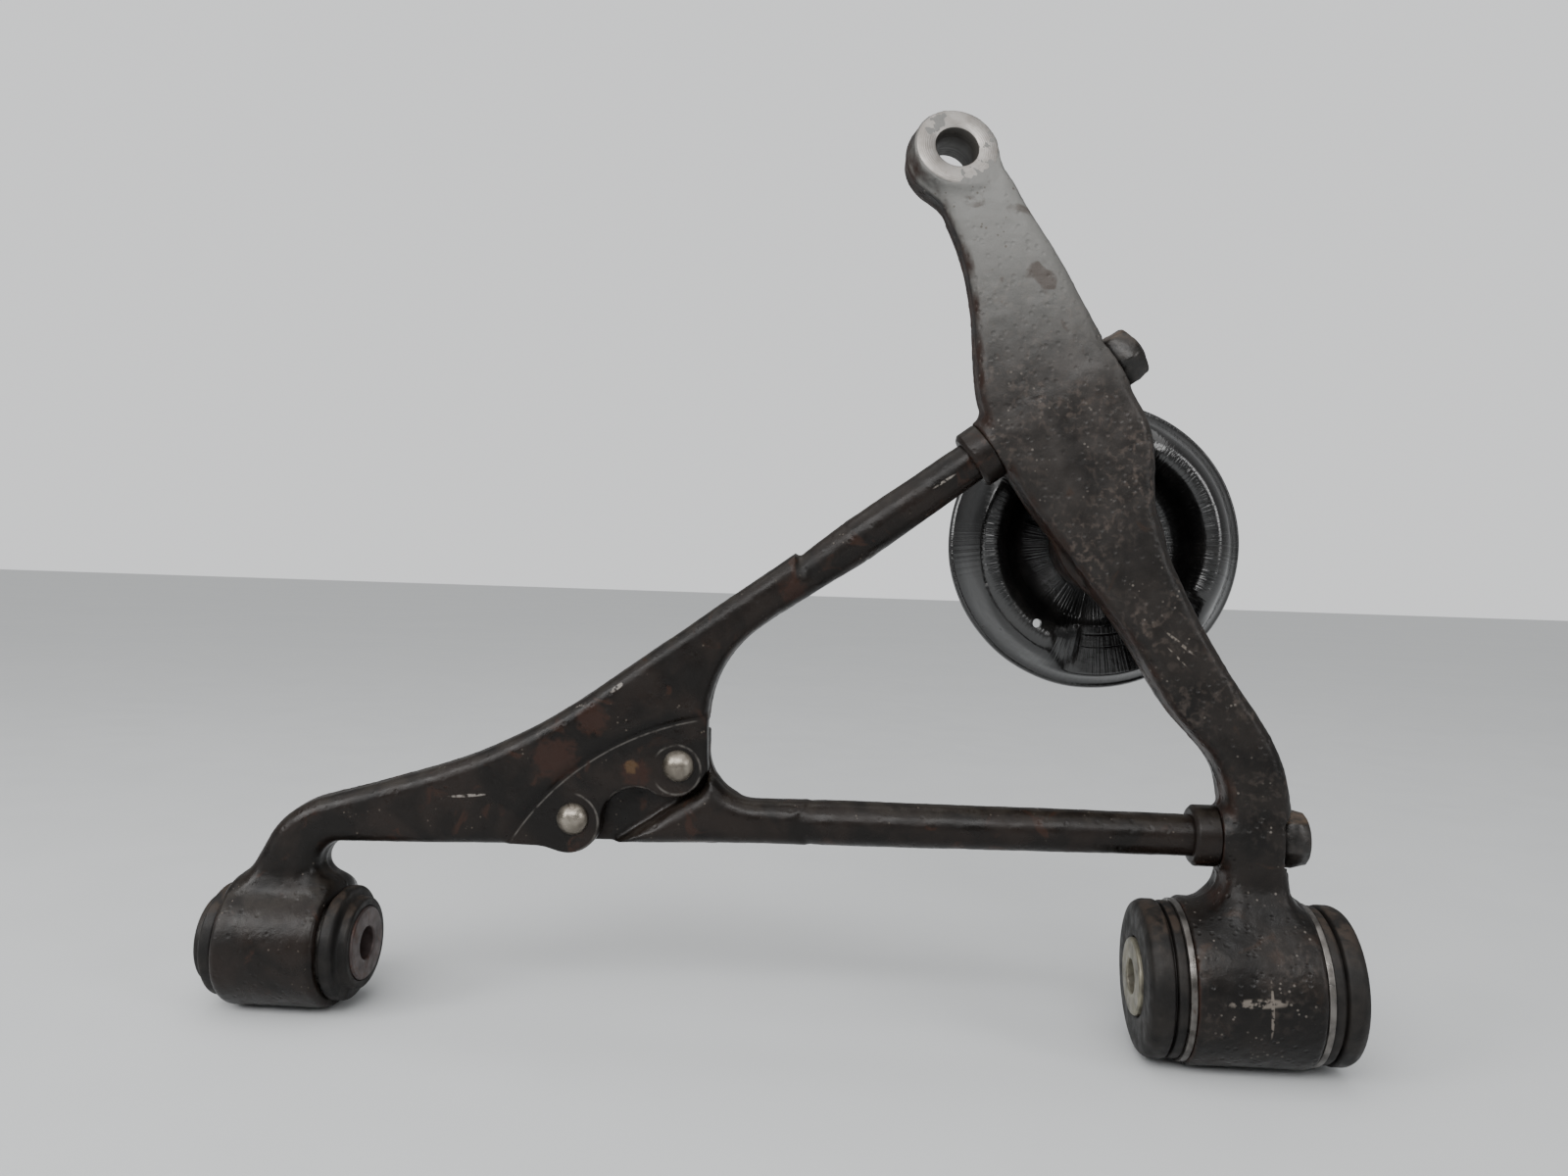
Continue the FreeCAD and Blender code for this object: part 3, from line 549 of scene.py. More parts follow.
def nut_mesh(name, flats, height, bore, place, rounding=0.5):
    """A hexagon nut or bolt head with bevelled corners; bore 0 makes a solid head."""
    segments = 96
    corner = flats / math.sqrt(3)
    bevel = flats / 2 - 0.3
    rings = [(0, 1), (0, 2), (rounding, 3), (height / 2, 3), (height - rounding, 3), (height, 2), (height, 1)]
    verts, faces = [], []
    for along, kind in rings:
        for index in range(segments):
            angle = 2 * math.pi * index / segments
            radius = hexagon_radius(angle, flats)
            cone = bevel + (corner - bevel) * min(1, max(0, (height - along) / 1.8))
            foot = bevel + (corner - bevel) * min(1, max(0, along / 1.2 + 0.35))
            radius = min(radius, cone, foot)
            radius = {1: max(bore, 0.01), 2: min(radius, bevel) - rounding, 3: radius}[kind]
            verts.append((radius * math.cos(angle) * MM, radius * math.sin(angle) * MM, along * MM))
    rows = len(rings)
    for row in range(rows if bore else rows - 1):
        start, above = row * segments, ((row + 1) % rows) * segments
        for index in range(segments):
            after = (index + 1) % segments
            faces.append((start + index, start + after, above + after, above + index))
    return closed_mesh(name, verts, faces, place)


def place_along_rod(rod, station, turned):
    """Matrix on a rod at a station, turned about the rod by an angle in degrees."""
    base, axis = rod_frame(rod)
    start = [b + a * station for b, a in zip(base, axis)]
    return placed_along(start, axis) @ Matrix.Rotation(math.radians(turned), 4, "Z")


# ---------------------------------------------------------------- spring seat

SEAT_SHEET = 3.5
SEAT_RING = [
    (0.5, 40.7), (20, 40.7), (34, 40.6), (41, 38.6), (45, 33.5), (48, 27.5), (51.5, 24), (55, 23.3),
    (58.5, 24.4), (62, 28.5), (65, 35), (68, 41.5), (70.5, 45.4), (72.4, 46.9), (73.4, 47.1),
]
SADDLES = [(-72, 36, 35.5), (105, 36, 31)]
DRAIN = (51.2, -127.7, 2.2)


def saddle_depth(depth, radius, degrees):
    """How far the sheet is pressed back where the arm crosses the seat, to a level behind the crest."""
    if not 41 < radius < 68:
        return 0
    pressed = 0
    for middle, half, level in SADDLES:
        off = abs((degrees - middle + 180) % 360 - 180)
        share = min(1, max(0, (half + 11 - off) / 22))
        pressed += max(0, level - depth) * share * share * (3 - 2 * share)
    return pressed


def spring_seat_mesh():
    """Pressed dish: a sheet of even thickness round a smoothed profile, with a pressed saddle."""
    middle = smooth_rows(SEAT_RING, 4)
    slope = np.gradient(middle, axis=0)
    slope /= np.linalg.norm(slope, axis=1)[:, None]
    normal = np.stack([slope[:, 1], -slope[:, 0]], axis=1) * SEAT_SHEET / 2
    lip = middle[-1] + slope[-1] * SEAT_SHEET * 0.35
    profile = np.vstack([middle + normal, [lip], (middle - normal)[::-1]])
    segments = 288
    verts, faces = [], []
    for radius, depth in profile:
        radius = max(radius, 0.01)
        for index in range(segments):
            degrees = 360 * index / segments
            angle = math.radians(degrees)
            wobble = 0.25 * noise.noise((3 * math.cos(angle), 3 * math.sin(angle), radius / 20))
            verts.append((
                (SEAT_CENTRE[0] + (radius + wobble) * math.cos(angle)) * MM,
                (depth + saddle_depth(depth, radius, degrees) + wobble) * MM,
                (SEAT_CENTRE[2] + (radius + wobble) * math.sin(angle)) * MM,
            ))
    rows = len(profile)
    for row in range(rows - 1):
        start, above = row * segments, (row + 1) * segments
        for index in range(segments):
            after = (index + 1) % segments
            faces.append((start + index, above + index, above + after, start + after))
    return closed_mesh("spring_seat_dish", verts, faces, Matrix())


def pierce(piece, radius, degrees, size):
    """Drill a hole through the dish along Y."""
    angle = math.radians(degrees)
    place = placed_along((SEAT_CENTRE[0] + radius * math.cos(angle), 0,
                          SEAT_CENTRE[2] + radius * math.sin(angle)), (0, 1, 0))
    drill_mesh = lathe("drill", [(0, 0.01), (0, size), (60, size), (60, 0.01)], place, 32, closed=False)
    drill = bpy.data.objects.new("drill", drill_mesh)
    bpy.context.scene.collection.objects.link(drill)
    hole = piece.modifiers.new("hole", "BOOLEAN")
    hole.object = drill
    hole.operation = "DIFFERENCE"
    hole.solver = "EXACT"
    bpy.context.view_layer.update()
    made = bpy.data.meshes.new_from_object(piece.evaluated_get(bpy.context.evaluated_depsgraph_get()))
    piece.modifiers.clear()
    piece.data = made
    bpy.data.objects.remove(drill)


# ---------------------------------------------------------------- bushes

def ring_mesh(name, corners, start, side, soft, segments=160):
    """A turned ring of a bush on the pivot axis; corners are (along, radius) from the bush's middle."""
    profile = softened(corners, soft)
    return lathe(name, profile, placed_along((start, 0, 0), (side, 0, 0)), segments)


REAR_RUBBER = [
    (2, 18.05), (47.2, 18.05), (48.5, 19.5), (48.5, 31.2), (47.2, 34.8), (44.2, 36.5),
    (38, 36.5), (37.4, 33.6), (36.6, 33.4), (36.2, 36), (31.5, 36), (31.5, 28.5), (2, 28.5),
]
REAR_SHELL = [(2, 28.5), (31.5, 28.5), (31.5, 37.2), (28.5, 37.2), (28.5, 31), (2, 31)]
REAR_CORE = [(0, 8), (49.4, 8), (50, 8.6), (50, 17.2), (49.2, 18), (0, 18)]
FRONT_RUBBER_HALF = [
    (39, 18.05), (39, 21.6), (38, 22.5), (34.6, 22.8), (33.8, 24.5),
    (33.5, 27), (32.4, 28), (27, 28), (27, 23.5),
]
FRONT_SLEEVE = [
    (-40, 8.6), (-39.4, 8), (39.4, 8), (40, 8.6),
    (40, 17.2), (39.2, 18), (-39.2, 18), (-40, 17.2),
]
FRONT_SHELL = [(-27, 23.5), (27, 23.5), (27, 26), (-27, 26)]


def rear_bush(materials):
    """Both halves of the rear bush: flanged shell, rubber and core."""
    for word, side in (("left", -1), ("right", 1)):
        for kind, corners, soft, body, slot in (
                ("shell", REAR_SHELL, 0.6, "arm", "bush_shell"),
                ("rubber", REAR_RUBBER, 1.4, "arm", "bush_rubber"),
                ("core", REAR_CORE, 0.4, "pivot_cores", "core_steel")):
            name = "rear_%s_%s" % (kind, word)
            mesh = ring_mesh(name, corners, 0, side, soft)
            add_piece(name, mesh, body, ["rear_bush_%s_%s" % (kind, word)], [materials[slot]])


def front_bush(materials):
    mirrored = [(-along, radius) for along, radius in reversed(FRONT_RUBBER_HALF)]
    for kind, corners, soft, body, slot in (
            ("shell", FRONT_SHELL, 0.5, "arm", "bush_shell"),
            ("rubber", FRONT_RUBBER_HALF + mirrored, 1.0, "arm", "bush_rubber"),
            ("sleeve", FRONT_SLEEVE, 0.4, "pivot_cores", "sleeve_steel")):
        mesh = ring_mesh("front_" + kind, corners, FRONT_X, 1, soft)
        add_piece("front_" + kind, mesh, body, ["front_bush_" + kind], [materials[slot]])


# ---------------------------------------------------------------- eye, fasteners and their places

def eye_lining():
    """Machined faces and bore of the ball joint eye."""
    face, bore = EYE_HALF + 0.1, EYE_BORE
    half = [(face - 0.7, bore), (face, bore + 0.8), (face, 19.5), (face - 0.4, 20),
            (face - 0.8, 19.8), (face - 0.8, bore + 0.7)]
    profile = half + [(-along, radius) for along, radius in reversed(half)]
    return lathe("eye_lining", profile, placed_along(EYE, EYE_AXIS), 160)


BOLT_RING = 13
BOLT_FLATS = 13
BOLT_HEAD = 5.5
NUT_TURNS = {"upper": 12, "lower": 18}


def seat_bolts(materials):
    """Three bolts that hold the spring seat to the arm's pad."""
    head_at = SEAT_RING[0][1] + SEAT_SHEET / 2
    for index in range(3):
        angle = math.radians(90 + 120 * index)
        place = placed_along((SEAT_CENTRE[0] + BOLT_RING * math.cos(angle), head_at,
                              SEAT_CENTRE[2] + BOLT_RING * math.sin(angle)), (0, 1, 0))
        name = "spring_seat_bolt_%d" % (index + 1)
        mesh = nut_mesh(name, BOLT_FLATS, BOLT_HEAD, 0, place @ Matrix.Rotation(angle, 4, "Z"))
        nodes = ["spring_seat_bolts"] if index == 0 else []
        add_piece(name, mesh, "arm", nodes, [materials["dark_nut"]])


# ---------------------------------------------------------------- materials

class Surface:
    """A procedural material; its textures use the object's own coordinates in millimetres."""

    def __init__(self, name, metallic=0.0, coat=0.0, specular=0.5):
        self.material = bpy.data.materials.new(name)
        self.material.use_nodes = True
        self.tree = self.material.node_tree
        self.shader = self.tree.nodes["Principled BSDF"]
        self.shader.inputs["Metallic"].default_value = metallic
        self.shader.inputs["Coat Weight"].default_value = coat
        self.shader.inputs["Coat Roughness"].default_value = 0.12
        self.shader.inputs["Specular IOR Level"].default_value = specular
        texture = self.node("ShaderNodeTexCoord")
        scaled = self.node("ShaderNodeVectorMath", operation="SCALE")
        scaled.inputs["Scale"].default_value = 1 / MM
        self.link(texture.outputs["Object"], scaled.inputs[0])
        self.place = scaled.outputs[0]
        self.normal = texture.outputs["Normal"]

    def node(self, kind, **settings):
        made = self.tree.nodes.new(kind)
        for key, value in settings.items():
            setattr(made, key, value)
        return made

    def link(self, source, target):
        self.tree.links.new(source, target)

    def noise(self, size, detail=3, distortion=0.0):
        """Noise from 0 to 1 with features about size millimetres across."""
        made = self.node("ShaderNodeTexNoise")
        made.inputs["Scale"].default_value = 1 / size
        made.inputs["Detail"].default_value = detail
        made.inputs["Distortion"].default_value = distortion
        self.link(self.place, made.inputs["Vector"])
        return made.outputs["Fac"]

    def cells(self, size):
        """Distance to the nearest of many scattered points, in cells of size millimetres."""
        made = self.node("ShaderNodeTexVoronoi")
        made.inputs["Scale"].default_value = 1 / size
        self.link(self.place, made.inputs["Vector"])
        return made.outputs["Distance"]

    def part(self, source, axis):
        split = self.node("ShaderNodeSeparateXYZ")
        self.link(source, split.inputs[0])
        return split.outputs[axis]

    def step(self, value, low, high, start=0.0, end=1.0):
        """Value mapped smoothly from low..high to start..end and held beyond."""
        made = self.node("ShaderNodeMapRange", interpolation_type="SMOOTHSTEP")
        for name, number in zip(("From Min", "From Max", "To Min", "To Max"), (low, high, start, end)):
            made.inputs[name].default_value = number
        self.link(value, made.inputs["Value"])
        return made.outputs["Result"]

    def math(self, operation, first, second):
        made = self.node("ShaderNodeMath", operation=operation)
        for socket, value in zip(made.inputs, (first, second)):
            if isinstance(value, (int, float)):
                socket.default_value = value
            else:
                self.link(value, socket)
        return made.outputs[0]

    def patch(self, place, size):
        """A ragged spot, 1 inside and 0 outside, about size millimetres in radius."""
        away = self.node("ShaderNodeVectorMath", operation="DISTANCE")
        away.inputs[1].default_value = place
        self.link(self.place, away.inputs[0])
        near = self.step(away.outputs["Value"], 0, 1.7 * size, 1, 0)
        return self.step(self.math("MULTIPLY", near, self.noise(3.5, 6)), 0.16, 0.36)

    def worn_highlight_arc(self, centre, radius, width, low_x, high_x):
        """A line along an arc in the arm's plane, on the front only, from low_x to high_x: worn metal with a
        painted highlight.
        """
        flat = self.node("ShaderNodeVectorMath", operation="MULTIPLY")
        flat.inputs[1].default_value = (1, 0, 1)
        self.link(self.place, flat.inputs[0])
        away = self.node("ShaderNodeVectorMath", operation="DISTANCE")
        away.inputs[1].default_value = (centre[0], 0, centre[1])
        self.link(flat.outputs[0], away.inputs[0])
        off = self.math("ABSOLUTE", self.math("SUBTRACT", away.outputs["Value"], radius), 0)
        line = self.math("MULTIPLY", self.step(off, 0, width, 1, 0), self.step(self.noise(5, 4), 0.30, 0.55))
        x, y = self.part(self.place, "X"), self.part(self.place, "Y")
        past_low = self.step(x, low_x - 2, low_x + 2)
        before_high = self.step(x, high_x - 2, high_x + 2, 1, 0)
        within = self.math("MULTIPLY", past_low, before_high)
        return self.math("MULTIPLY", line, self.math("MULTIPLY", within, self.step(y, -7, -6, 1, 0)))

    def scratch(self, start, end, width):
        """A thin straight scratch between two places, broken up by noise."""
        start, end = Vector(start), Vector(end)
        middle, reach = (start + end) / 2, (end - start).length / 2
        along = (end - start).normalized()
        turn = self.node("ShaderNodeMapping", vector_type="TEXTURE")
        turn.inputs["Location"].default_value = middle
        turn.inputs["Rotation"].default_value = along.to_track_quat("X", "Y").to_euler()
        turn.inputs["Scale"].default_value = (reach, width, 60)
        self.link(self.place, turn.inputs["Vector"])
        length = self.node("ShaderNodeVectorMath", operation="LENGTH")
        self.link(turn.outputs[0], length.inputs[0])
        spot = self.step(length.outputs["Value"], 0.55, 1.0, 1, 0)
        return self.math("MULTIPLY", spot, self.step(self.noise(2.5, 4), 0.42, 0.55))

    def mix(self, share, first, second):
        """Colour first where share is 0 and second where it is 1."""
        made = self.node("ShaderNodeMix", data_type="RGBA")
        self.link(share, made.inputs["Factor"])
        for socket, value in ((made.inputs[6], first), (made.inputs[7], second)):
            if isinstance(value, tuple):
                socket.default_value = (*value, 1)
            else:
                self.link(value, socket)
        return made.outputs[2]

    def colour(self, value):
        self.link(value, self.shader.inputs["Base Color"])

    def roughness(self, value):
        self.link(value, self.shader.inputs["Roughness"])

    def metal(self, value):
        self.link(value, self.shader.inputs["Metallic"])

    def bump(self, *layers):
        """Stack bumps of (height, depth in millimetres)."""
        previous = None
        for height, depth in layers:
            made = self.node("ShaderNodeBump")
            made.inputs["Strength"].default_value = 1
            made.inputs["Distance"].default_value = depth * MM
            self.link(height, made.inputs["Height"])
            if previous:
                self.link(previous, made.inputs["Normal"])
            previous = made.outputs["Normal"]
        self.link(previous, self.shader.inputs["Normal"])


def arm_material():
    """Forged arm: black paint under dust and oil, browner on its front, rusty on its flanks; its front
    lighter towards the top with dust and painted sheen, and grey near the eye with painted sheen over worn
    metal.
    """
    surface = Surface("forged_arm", specular=0.2)
    front = surface.step(surface.part(surface.normal, "Y"), -0.75, -0.2, 1, 0)
    # Towards the top the front gets lighter: dust and a painted sheen that fades downward.
    height = surface.step(surface.part(surface.place, "Z"), 90, 390)
    blotch = surface.noise(26, 5, distortion=0.4)
    base = surface.mix(surface.step(blotch, 0.38, 0.62), (0.0045, 0.0038, 0.0034), (0.011, 0.0088, 0.0075))
    dust_share = surface.step(surface.noise(9, 5), 0.35, 0.7)
    dust_and_sheen_colour = surface.mix(dust_share, (0.020, 0.0175, 0.016), (0.042, 0.037, 0.034))
    dust_and_sheen = surface.math("MULTIPLY", front, surface.math("MULTIPLY", height, surface.step(blotch, 0.1, 0.6)))
    painted = surface.mix(dust_and_sheen, base, dust_and_sheen_colour)
    scale = surface.math("MULTIPLY", surface.step(surface.noise(3.2, 9, distortion=0.3), 0.47, 0.70),
                         surface.step(surface.noise(40, 3), 0.38, 0.66))
    scale = surface.math("MULTIPLY", scale, surface.step(surface.part(surface.place, "Z"), 60, 230, 0.45, 1))
    painted = surface.mix(surface.math("MULTIPLY", scale, front), painted, (0.052, 0.041, 0.035))
    # Grey top of the front near the eye: painted sheen over worn bare metal.
    sheen_and_worn_metal = surface.math("MULTIPLY", front, surface.step(surface.part(surface.place, "Z"), 268, 380))
    painted = surface.mix(sheen_and_worn_metal, painted, (0.155, 0.153, 0.145))
    flank = surface.math("MULTIPLY", surface.step(surface.part(surface.normal, "X"), -0.35, -0.8),
                         surface.step(surface.noise(12, 5), 0.35, 0.65))
    painted = surface.mix(flank, painted, (0.020, 0.010, 0.007))
    rust = surface.step(surface.noise(17, 6, distortion=0.8), 0.62, 0.72)
    painted = surface.mix(surface.math("MULTIPLY", rust, 0.6), painted, (0.030, 0.017, 0.011))
    specks = surface.step(surface.cells(3.3), 0.13, 0.22, 1, 0)
    sparse = surface.math("MULTIPLY", specks, surface.step(surface.noise(14, 3), 0.52, 0.62))
    painted = surface.mix(sparse, painted, (0.085, 0.075, 0.066))
    scraped = surface.math("ADD", surface.scratch((-42, -13, 168), (-26, -14, 155), 0.9),
                           surface.scratch((-40, -13, 160), (-30, -14, 150), 0.6))
    scraped = surface.math("ADD", scraped, surface.scratch((-19, -38, 2), (14, -38, 4), 2.6))
    scraped = surface.math("ADD", scraped, surface.scratch((3, -36, 16), (4, -36, -16), 0.9))
    surface.colour(surface.mix(surface.math("MINIMUM", scraped, 1), painted, (0.115, 0.100, 0.086)))
    gloss = surface.step(surface.noise(13, 5), 0.3, 0.7, 0.30, 0.46)
    surface.roughness(surface.math("ADD", gloss, surface.math("MULTIPLY", dust_and_sheen, 0.06)))
    pits = surface.step(surface.cells(4.6), 0.05, 0.32, 0, 1)
    surface.bump((surface.noise(6, 6), 0.35), (pits, 0.30), (surface.noise(0.9, 4), 0.10))
    return surface.material


def brace_material():
    """Forged brace: oily black paint with rust spots and scrapes to bare metal."""
    surface = Surface("forged_brace", specular=0.2)
    blotch = surface.noise(22, 5, distortion=0.5)
    blotched = surface.step(blotch, 0.36, 0.66)
    painted = surface.mix(blotched, (0.0045, 0.0036, 0.0030), (0.0115, 0.0080, 0.0064))
    top = surface.math("MULTIPLY", surface.step(surface.part(surface.normal, "Z"), 0.25, 0.85),
                       surface.step(surface.noise(8, 5), 0.35, 0.65))
    painted = surface.mix(top, painted, (0.018, 0.0145, 0.0115))
    rust = surface.step(surface.noise(15, 6, distortion=1.0), 0.60, 0.69)
    painted = surface.mix(surface.math("MULTIPLY", rust, 0.75), painted, (0.024, 0.0115, 0.0075))
    spots = (((-291, -9, 92), 8), ((-330, -12, 98), 13), ((-312, -12, 118), 9), ((-215, -12, 182), 8))
    for place, size in spots:
        painted = surface.mix(surface.patch(place, size), painted, (0.020, 0.0095, 0.0065))
    painted = surface.mix(surface.patch((-293, -9, 95), 4), painted, (0.055, 0.032, 0.016))
    step_centre = arc_centre((-354, 54.5), (-256, 119), -138)
    # Lighter lines on the arch, the lobes and the step: worn edges with a painted highlight where they catch
    # light.
    highlight_edges = [
        (ARCH[:2], ARCH[2] + 0.5, 0.9, -304, -280),
        (LOBES[0][:2], LOBES[0][2] - 0.5, 0.9, -320, -306),
        (LOBES[1][:2], LOBES[1][2] - 0.5, 0.9, -280, -257),
        (step_centre, 138, 0.7, -352, -262),
    ]
    for centre, radius, width, low_x, high_x in highlight_edges:
        line = surface.worn_highlight_arc(centre, radius, width, low_x, high_x)
        painted = surface.mix(surface.math("MULTIPLY", line, 0.7), painted, (0.095, 0.088, 0.080))
    for start, end, width in (((-304, -13, 131), (-296, -13, 137), 1.4),
                              ((-322, -13, 122), (-315, -13, 126), 1.2),
                              ((-385, -13, 78), (-362, -13, 80), 0.9),
                              ((-150, -9, 232), (-138, -9, 240), 0.8)):
        painted = surface.mix(surface.scratch(start, end, width), painted, (0.16, 0.145, 0.13))
    specks = surface.math("MULTIPLY", surface.step(surface.cells(2.9), 0.12, 0.20, 1, 0),
                          surface.step(surface.noise(11, 3), 0.56, 0.66))
    surface.colour(surface.mix(specks, painted, (0.060, 0.050, 0.041)))
    surface.roughness(surface.step(surface.noise(12, 5), 0.3, 0.7, 0.24, 0.42))
    pits = surface.step(surface.cells(5.2), 0.05, 0.30, 0, 1)
    surface.bump((surface.noise(9, 6), 0.3), (pits, 0.12), (surface.noise(0.8, 4), 0.06))
    return surface.material


def eye_material():
    """Turned steel of the eye: fine rings, light stain, a few dark nicks and a bore darkened as painted
    shade.
    """
    surface = Surface("machined_eye", metallic=0.75)
    stain = surface.step(surface.noise(7, 5), 0.35, 0.7)
    tone = surface.mix(stain, (0.34, 0.32, 0.30), (0.24, 0.22, 0.20))
    nicks = surface.math("MULTIPLY", surface.step(surface.cells(3.4), 0.05, 0.11, 1, 0),
                         surface.step(surface.noise(6, 3), 0.56, 0.66))
    face = surface.mix(nicks, tone, (0.11, 0.09, 0.075))
    surface.roughness(surface.step(surface.noise(5, 4), 0.3, 0.7, 0.34, 0.50))
    offset = surface.node("ShaderNodeVectorMath", operation="DISTANCE")
    offset.inputs[1].default_value = EYE
    surface.link(surface.place, offset.inputs[0])
    across = surface.node("ShaderNodeVectorMath", operation="CROSS_PRODUCT")
    across.inputs[1].default_value = EYE_AXIS
    centred = surface.node("ShaderNodeVectorMath", operation="SUBTRACT")
    centred.inputs[1].default_value = EYE
    surface.link(surface.place, centred.inputs[0])
    surface.link(centred.outputs[0], across.inputs[0])
    radial = surface.node("ShaderNodeVectorMath", operation="LENGTH")
    surface.link(across.outputs[0], radial.inputs[0])
    # The bore is darker and less metallic: painted shade inside the bore.
    inside = surface.step(radial.outputs["Value"], EYE_BORE + 0.2, EYE_BORE + 0.5, 1, 0)
    surface.colour(surface.mix(inside, face, (0.035, 0.032, 0.028)))
    surface.metal(surface.step(radial.outputs["Value"], EYE_BORE + 0.2, EYE_BORE + 0.5, 0.2, 0.75))
    rings = surface.math("SINE", surface.math("MULTIPLY", offset.outputs["Value"], 7.5), 0)
    surface.bump((rings, 0.025), (surface.noise(3, 4), 0.12))
    return surface.material


def seat_material():
    """Glossy black pressed sheet, with drawing marks round its wall and small drips of paint."""
    surface = Surface("pressed_seat", coat=0.3, specular=0.6)
    share = surface.step(surface.noise(18, 4), 0.4, 0.7)
    tone = surface.mix(share, (0.0035, 0.0035, 0.0035), (0.008, 0.0075, 0.007))
    drips = surface.step(surface.cells(9), 0.10, 0.16, 1, 0)
    sparse = surface.math("MULTIPLY", drips, surface.step(surface.noise(20, 2), 0.56, 0.62))
    surface.colour(surface.mix(sparse, tone, (0.05, 0.048, 0.045)))
    surface.roughness(surface.step(surface.noise(9, 5), 0.3, 0.7, 0.13, 0.26))
    centred = surface.node("ShaderNodeVectorMath", operation="SUBTRACT")
    centred.inputs[1].default_value = SEAT_CENTRE
    surface.link(surface.place, centred.inputs[0])
    offset = centred.outputs[0]
    angle = surface.math("ARCTAN2", surface.part(offset, "Z"), surface.part(offset, "X"))
    marks = surface.node("ShaderNodeTexNoise", noise_dimensions="1D")
    marks.inputs["Scale"].default_value = 38
    marks.inputs["Detail"].default_value = 3
    surface.link(angle, marks.inputs["W"])
    surface.bump((marks.outputs["Fac"], 0.28), (surface.noise(11, 4), 0.45), (sparse, 0.3))
    return surface.material


def rubber_material():
    surface = Surface("bush_rubber", specular=0.2)
    share = surface.step(surface.noise(10, 5), 0.35, 0.68)
    tone = surface.mix(share, (0.006, 0.0054, 0.005), (0.014, 0.012, 0.0105))
    top = surface.math("MULTIPLY", surface.step(surface.part(surface.normal, "Z"), 0.4, 0.9),
                       surface.step(surface.noise(7, 5), 0.40, 0.60))
    surface.colour(surface.mix(top, tone, (0.030, 0.022, 0.017)))
    surface.roughness(surface.step(surface.noise(8, 4), 0.3, 0.7, 0.42, 0.62))
    surface.bump((surface.noise(4, 5), 0.25), (surface.noise(0.7, 3), 0.06))
    return surface.material


def steel_material(name, light, dark, rust, rusted, metallic, rough):
    """Plain steel with stains, rust over a share of it and fine noise bumps."""
    surface = Surface(name, metallic=metallic)
    tone = surface.mix(surface.step(surface.noise(8, 5), 0.35, 0.7), light, dark)
    patches = surface.step(surface.noise(6, 6, distortion=0.7), 0.66 - rusted, 0.78 - rusted)
    surface.colour(surface.mix(patches, tone, rust))
    surface.roughness(surface.step(surface.noise(5, 4), 0.3, 0.7, rough, rough + 0.18))
    surface.bump((surface.noise(2.5, 5), 0.14), (surface.noise(0.6, 3), 0.05))
    return surface.material


def nut_material():
    """Dark nuts whose upper facets have gone brown."""
    surface = Surface("dark_nut", metallic=0.2, specular=0.4)
    share = surface.step(surface.noise(6, 5), 0.35, 0.7)
    tone = surface.mix(share, (0.009, 0.008, 0.0072), (0.024, 0.0205, 0.018))
    top = surface.math("MULTIPLY", surface.step(surface.part(surface.normal, "Z"), 0.35, 0.85),
                       surface.step(surface.noise(4, 5), 0.30, 0.60))
    surface.colour(surface.mix(top, tone, (0.085, 0.060, 0.042)))
    surface.roughness(surface.step(surface.noise(5, 4), 0.3, 0.7, 0.26, 0.44))
    surface.bump((surface.noise(3, 5), 0.22), (surface.noise(0.7, 3), 0.06))
    return surface.material


# Steel looks: light, dark and rust colours, share rusted, metallic, roughness.
STEELS = {
    "zinc_rivet": ((0.24, 0.215, 0.18), (0.12, 0.105, 0.085), (0.06, 0.035, 0.022), 0.02, 0.75, 0.24),
    "core_steel": ((0.22, 0.205, 0.155), (0.10, 0.092, 0.072), (0.05, 0.035, 0.025), 0.03, 0.55, 0.34),
    "sleeve_steel": ((0.062, 0.046, 0.044), (0.034, 0.024, 0.023), (0.050, 0.026, 0.020), 0.12, 0.45, 0.34),
    "bush_shell": ((0.16, 0.15, 0.14), (0.06, 0.055, 0.05), (0.05, 0.03, 0.022), 0.03, 0.8, 0.26),
}


def make_materials():
    materials = {
        "forged_arm": arm_material(),
        "forged_brace": brace_material(),
        "machined_eye": eye_material(),
        "pressed_seat": seat_material(),
        "bush_rubber": rubber_material(),
        "dark_nut": nut_material(),
    }
    for name, look in STEELS.items():
        materials[name] = steel_material(name, *look)
    return materials


# ---------------------------------------------------------------- assembly

def assemble(materials):
    def add(name, mesh, slot, nodes=(), material=None):
        return add_piece(name, mesh, "arm", nodes, [materials[material or slot]])

    add("arm_forging", arm_forging(), "forged_arm", ["main_arm"])
    add("eye_machined_face", eye_lining(), "forged_arm", material="machined_eye")
    add("brace_eye_link_forging", eye_link_forging(), "forged_brace", ["brace_eye_link"])
    add("upper_rod_end", rod_end("upper_rod_end", UPPER_ROD), "forged_brace")
    add("brace_lower_rod_forging", lower_rod_forging(), "forged_brace", ["brace_lower_rod"])
    add("lower_rod_end", rod_end("lower_rod_end", LOWER_ROD), "forged_brace")
    for word, (x, z) in zip(("one", "two"), RIVETS):
        add("rivet_" + word, rivet_mesh("rivet_" + word, x, z), "zinc_rivet", ["brace_rivet_" + word])
    for word, rod in (("upper", UPPER_ROD), ("lower", LOWER_ROD)):
        place = place_along_rod(rod, rod["nut"], NUT_TURNS[word])
        mesh = nut_mesh(word + "_nut", NUT_FLATS, NUT_HEIGHT, SHANK_RADIUS, place)
        add(word + "_nut", mesh, "dark_nut", [word + "_rod_nut"])
    dish = add("spring_seat_dish", spring_seat_mesh(), "pressed_seat", ["spring_seat"])
    pierce(dish, *DRAIN)
    seat_bolts(materials)
    rear_bush(materials)
    front_bush(materials)


# ---------------------------------------------------------------- floor, light and camera

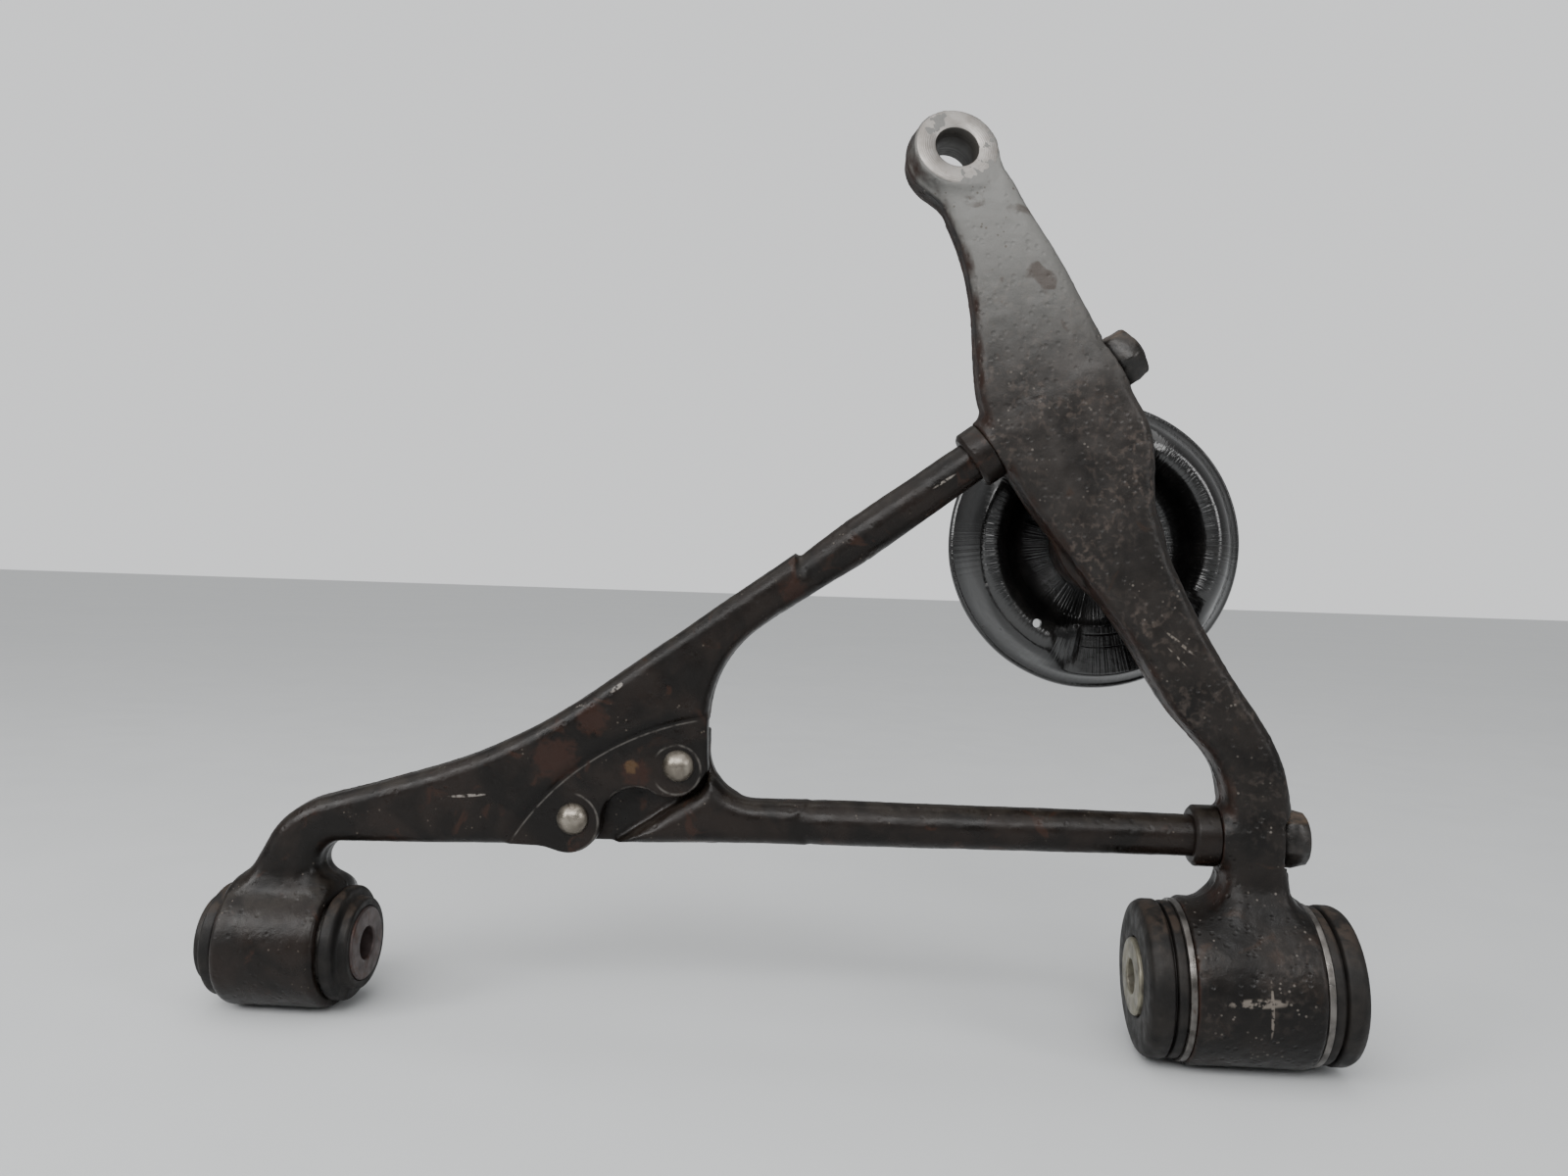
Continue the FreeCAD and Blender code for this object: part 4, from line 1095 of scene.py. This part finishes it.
def pale_material():
    surface = Surface("pale_floor")
    surface.colour(surface.mix(surface.noise(420, 2), (0.56, 0.575, 0.58), (0.60, 0.61, 0.615)))
    surface.roughness(surface.step(surface.noise(60, 3), 0.3, 0.7, 0.55, 0.65))
    surface.bump((surface.noise(3, 3), 0.05))
    return surface.material


FLOOR_HALF = 12.0
FLOOR_GAP = 0.0001


def add_floor():
    """Floor that touches both bush housings."""
    tilt = math.atan2(FRONT_RADIUS - REAR_RADIUS, -FRONT_X)
    mesh = bpy.data.meshes.new("floor")
    corners = [(x * FLOOR_HALF, y * FLOOR_HALF, 0) for x, y in ((-1, -1), (1, -1), (1, 1), (-1, 1))]
    mesh.from_pydata(corners, [], [(0, 1, 2, 3)])
    mesh.materials.append(pale_material())
    floor = bpy.data.objects.new("floor", mesh)
    floor.location = (0, 0, -REAR_RADIUS * MM - FLOOR_GAP)
    floor.rotation_euler = (0, -tilt, 0)
    bpy.context.scene.collection.objects.link(floor)


def add_light(name, place, target, width, height, power):
    data = bpy.data.lights.new(name, "AREA")
    data.shape = "RECTANGLE"
    data.size, data.size_y = width, height
    data.energy = power
    light = bpy.data.objects.new(name, data)
    light.location = place
    light.rotation_euler = (Vector(target) - Vector(place)).to_track_quat("-Z", "Y").to_euler()
    bpy.context.scene.collection.objects.link(light)


WORLD_COLOUR = (0.90, 0.91, 0.92, 1)
WORLD_LIGHT = 0.32
WORLD_SEEN = 1.1
SUN_STRENGTH = 2.0
SUN_SPREAD = math.radians(85)
SUN_TURN = (math.radians(14), math.radians(-12), 0)

# Area lights: name, place, target, width and height in metres, power in watts.
BOXES = [
    ("front_box", (-0.35, -1.5, 1.25), (-0.2, 0, 0.25), 1.8, 0.8, 26),
    ("left_box", (-1.5, -0.9, 0.8), (-0.1, 0, 0.2), 0.6, 0.9, 14),
    ("right_box", (1.3, -0.9, 0.8), (-0.1, 0, 0.2), 0.5, 0.9, 9),
]


def add_studio():
    world = bpy.data.worlds.new("studio")
    world.use_nodes = True
    nodes, links = world.node_tree.nodes, world.node_tree.links
    background = nodes["Background"]
    background.inputs["Color"].default_value = WORLD_COLOUR
    rays = nodes.new("ShaderNodeLightPath")
    strength = nodes.new("ShaderNodeMapRange")
    strength.inputs["To Min"].default_value = WORLD_LIGHT
    strength.inputs["To Max"].default_value = WORLD_SEEN
    links.new(rays.outputs["Is Camera Ray"], strength.inputs["Value"])
    links.new(strength.outputs["Result"], background.inputs["Strength"])
    bpy.context.scene.world = world
    for box in BOXES:
        add_light(*box)
    sun_data = bpy.data.lights.new("top_sun", "SUN")
    sun_data.energy = SUN_STRENGTH
    sun_data.angle = SUN_SPREAD
    sun = bpy.data.objects.new("top_sun", sun_data)
    sun.rotation_euler = SUN_TURN
    bpy.context.scene.collection.objects.link(sun)


CAMERA_PLACE = (-179, -550.5, 189.5)
CAMERA_FORWARD = (-0.0752, 0.9971, -0.0106)
CAMERA_LIFT = (-0.0185, 0.0092, 0.9998)
CAMERA_LENS = 25.8


def add_camera():
    """Camera low in front of the arm, a little left of its middle."""
    place = Vector(CAMERA_PLACE) * MM
    forward = Vector(CAMERA_FORWARD).normalized()
    lift = Vector(CAMERA_LIFT)
    right = forward.cross(lift).normalized()
    turn = Matrix((right, right.cross(forward), -forward)).transposed()
    data = bpy.data.cameras.new("camera")
    data.sensor_width = 36
    data.lens = CAMERA_LENS
    data.clip_start = 0.02
    camera = bpy.data.objects.new("camera", data)
    camera.matrix_world = Matrix.Translation(place) @ turn.to_4x4()
    bpy.context.scene.collection.objects.link(camera)
    bpy.context.scene.camera = camera


assemble(make_materials())
add_floor()
add_studio()
add_camera()
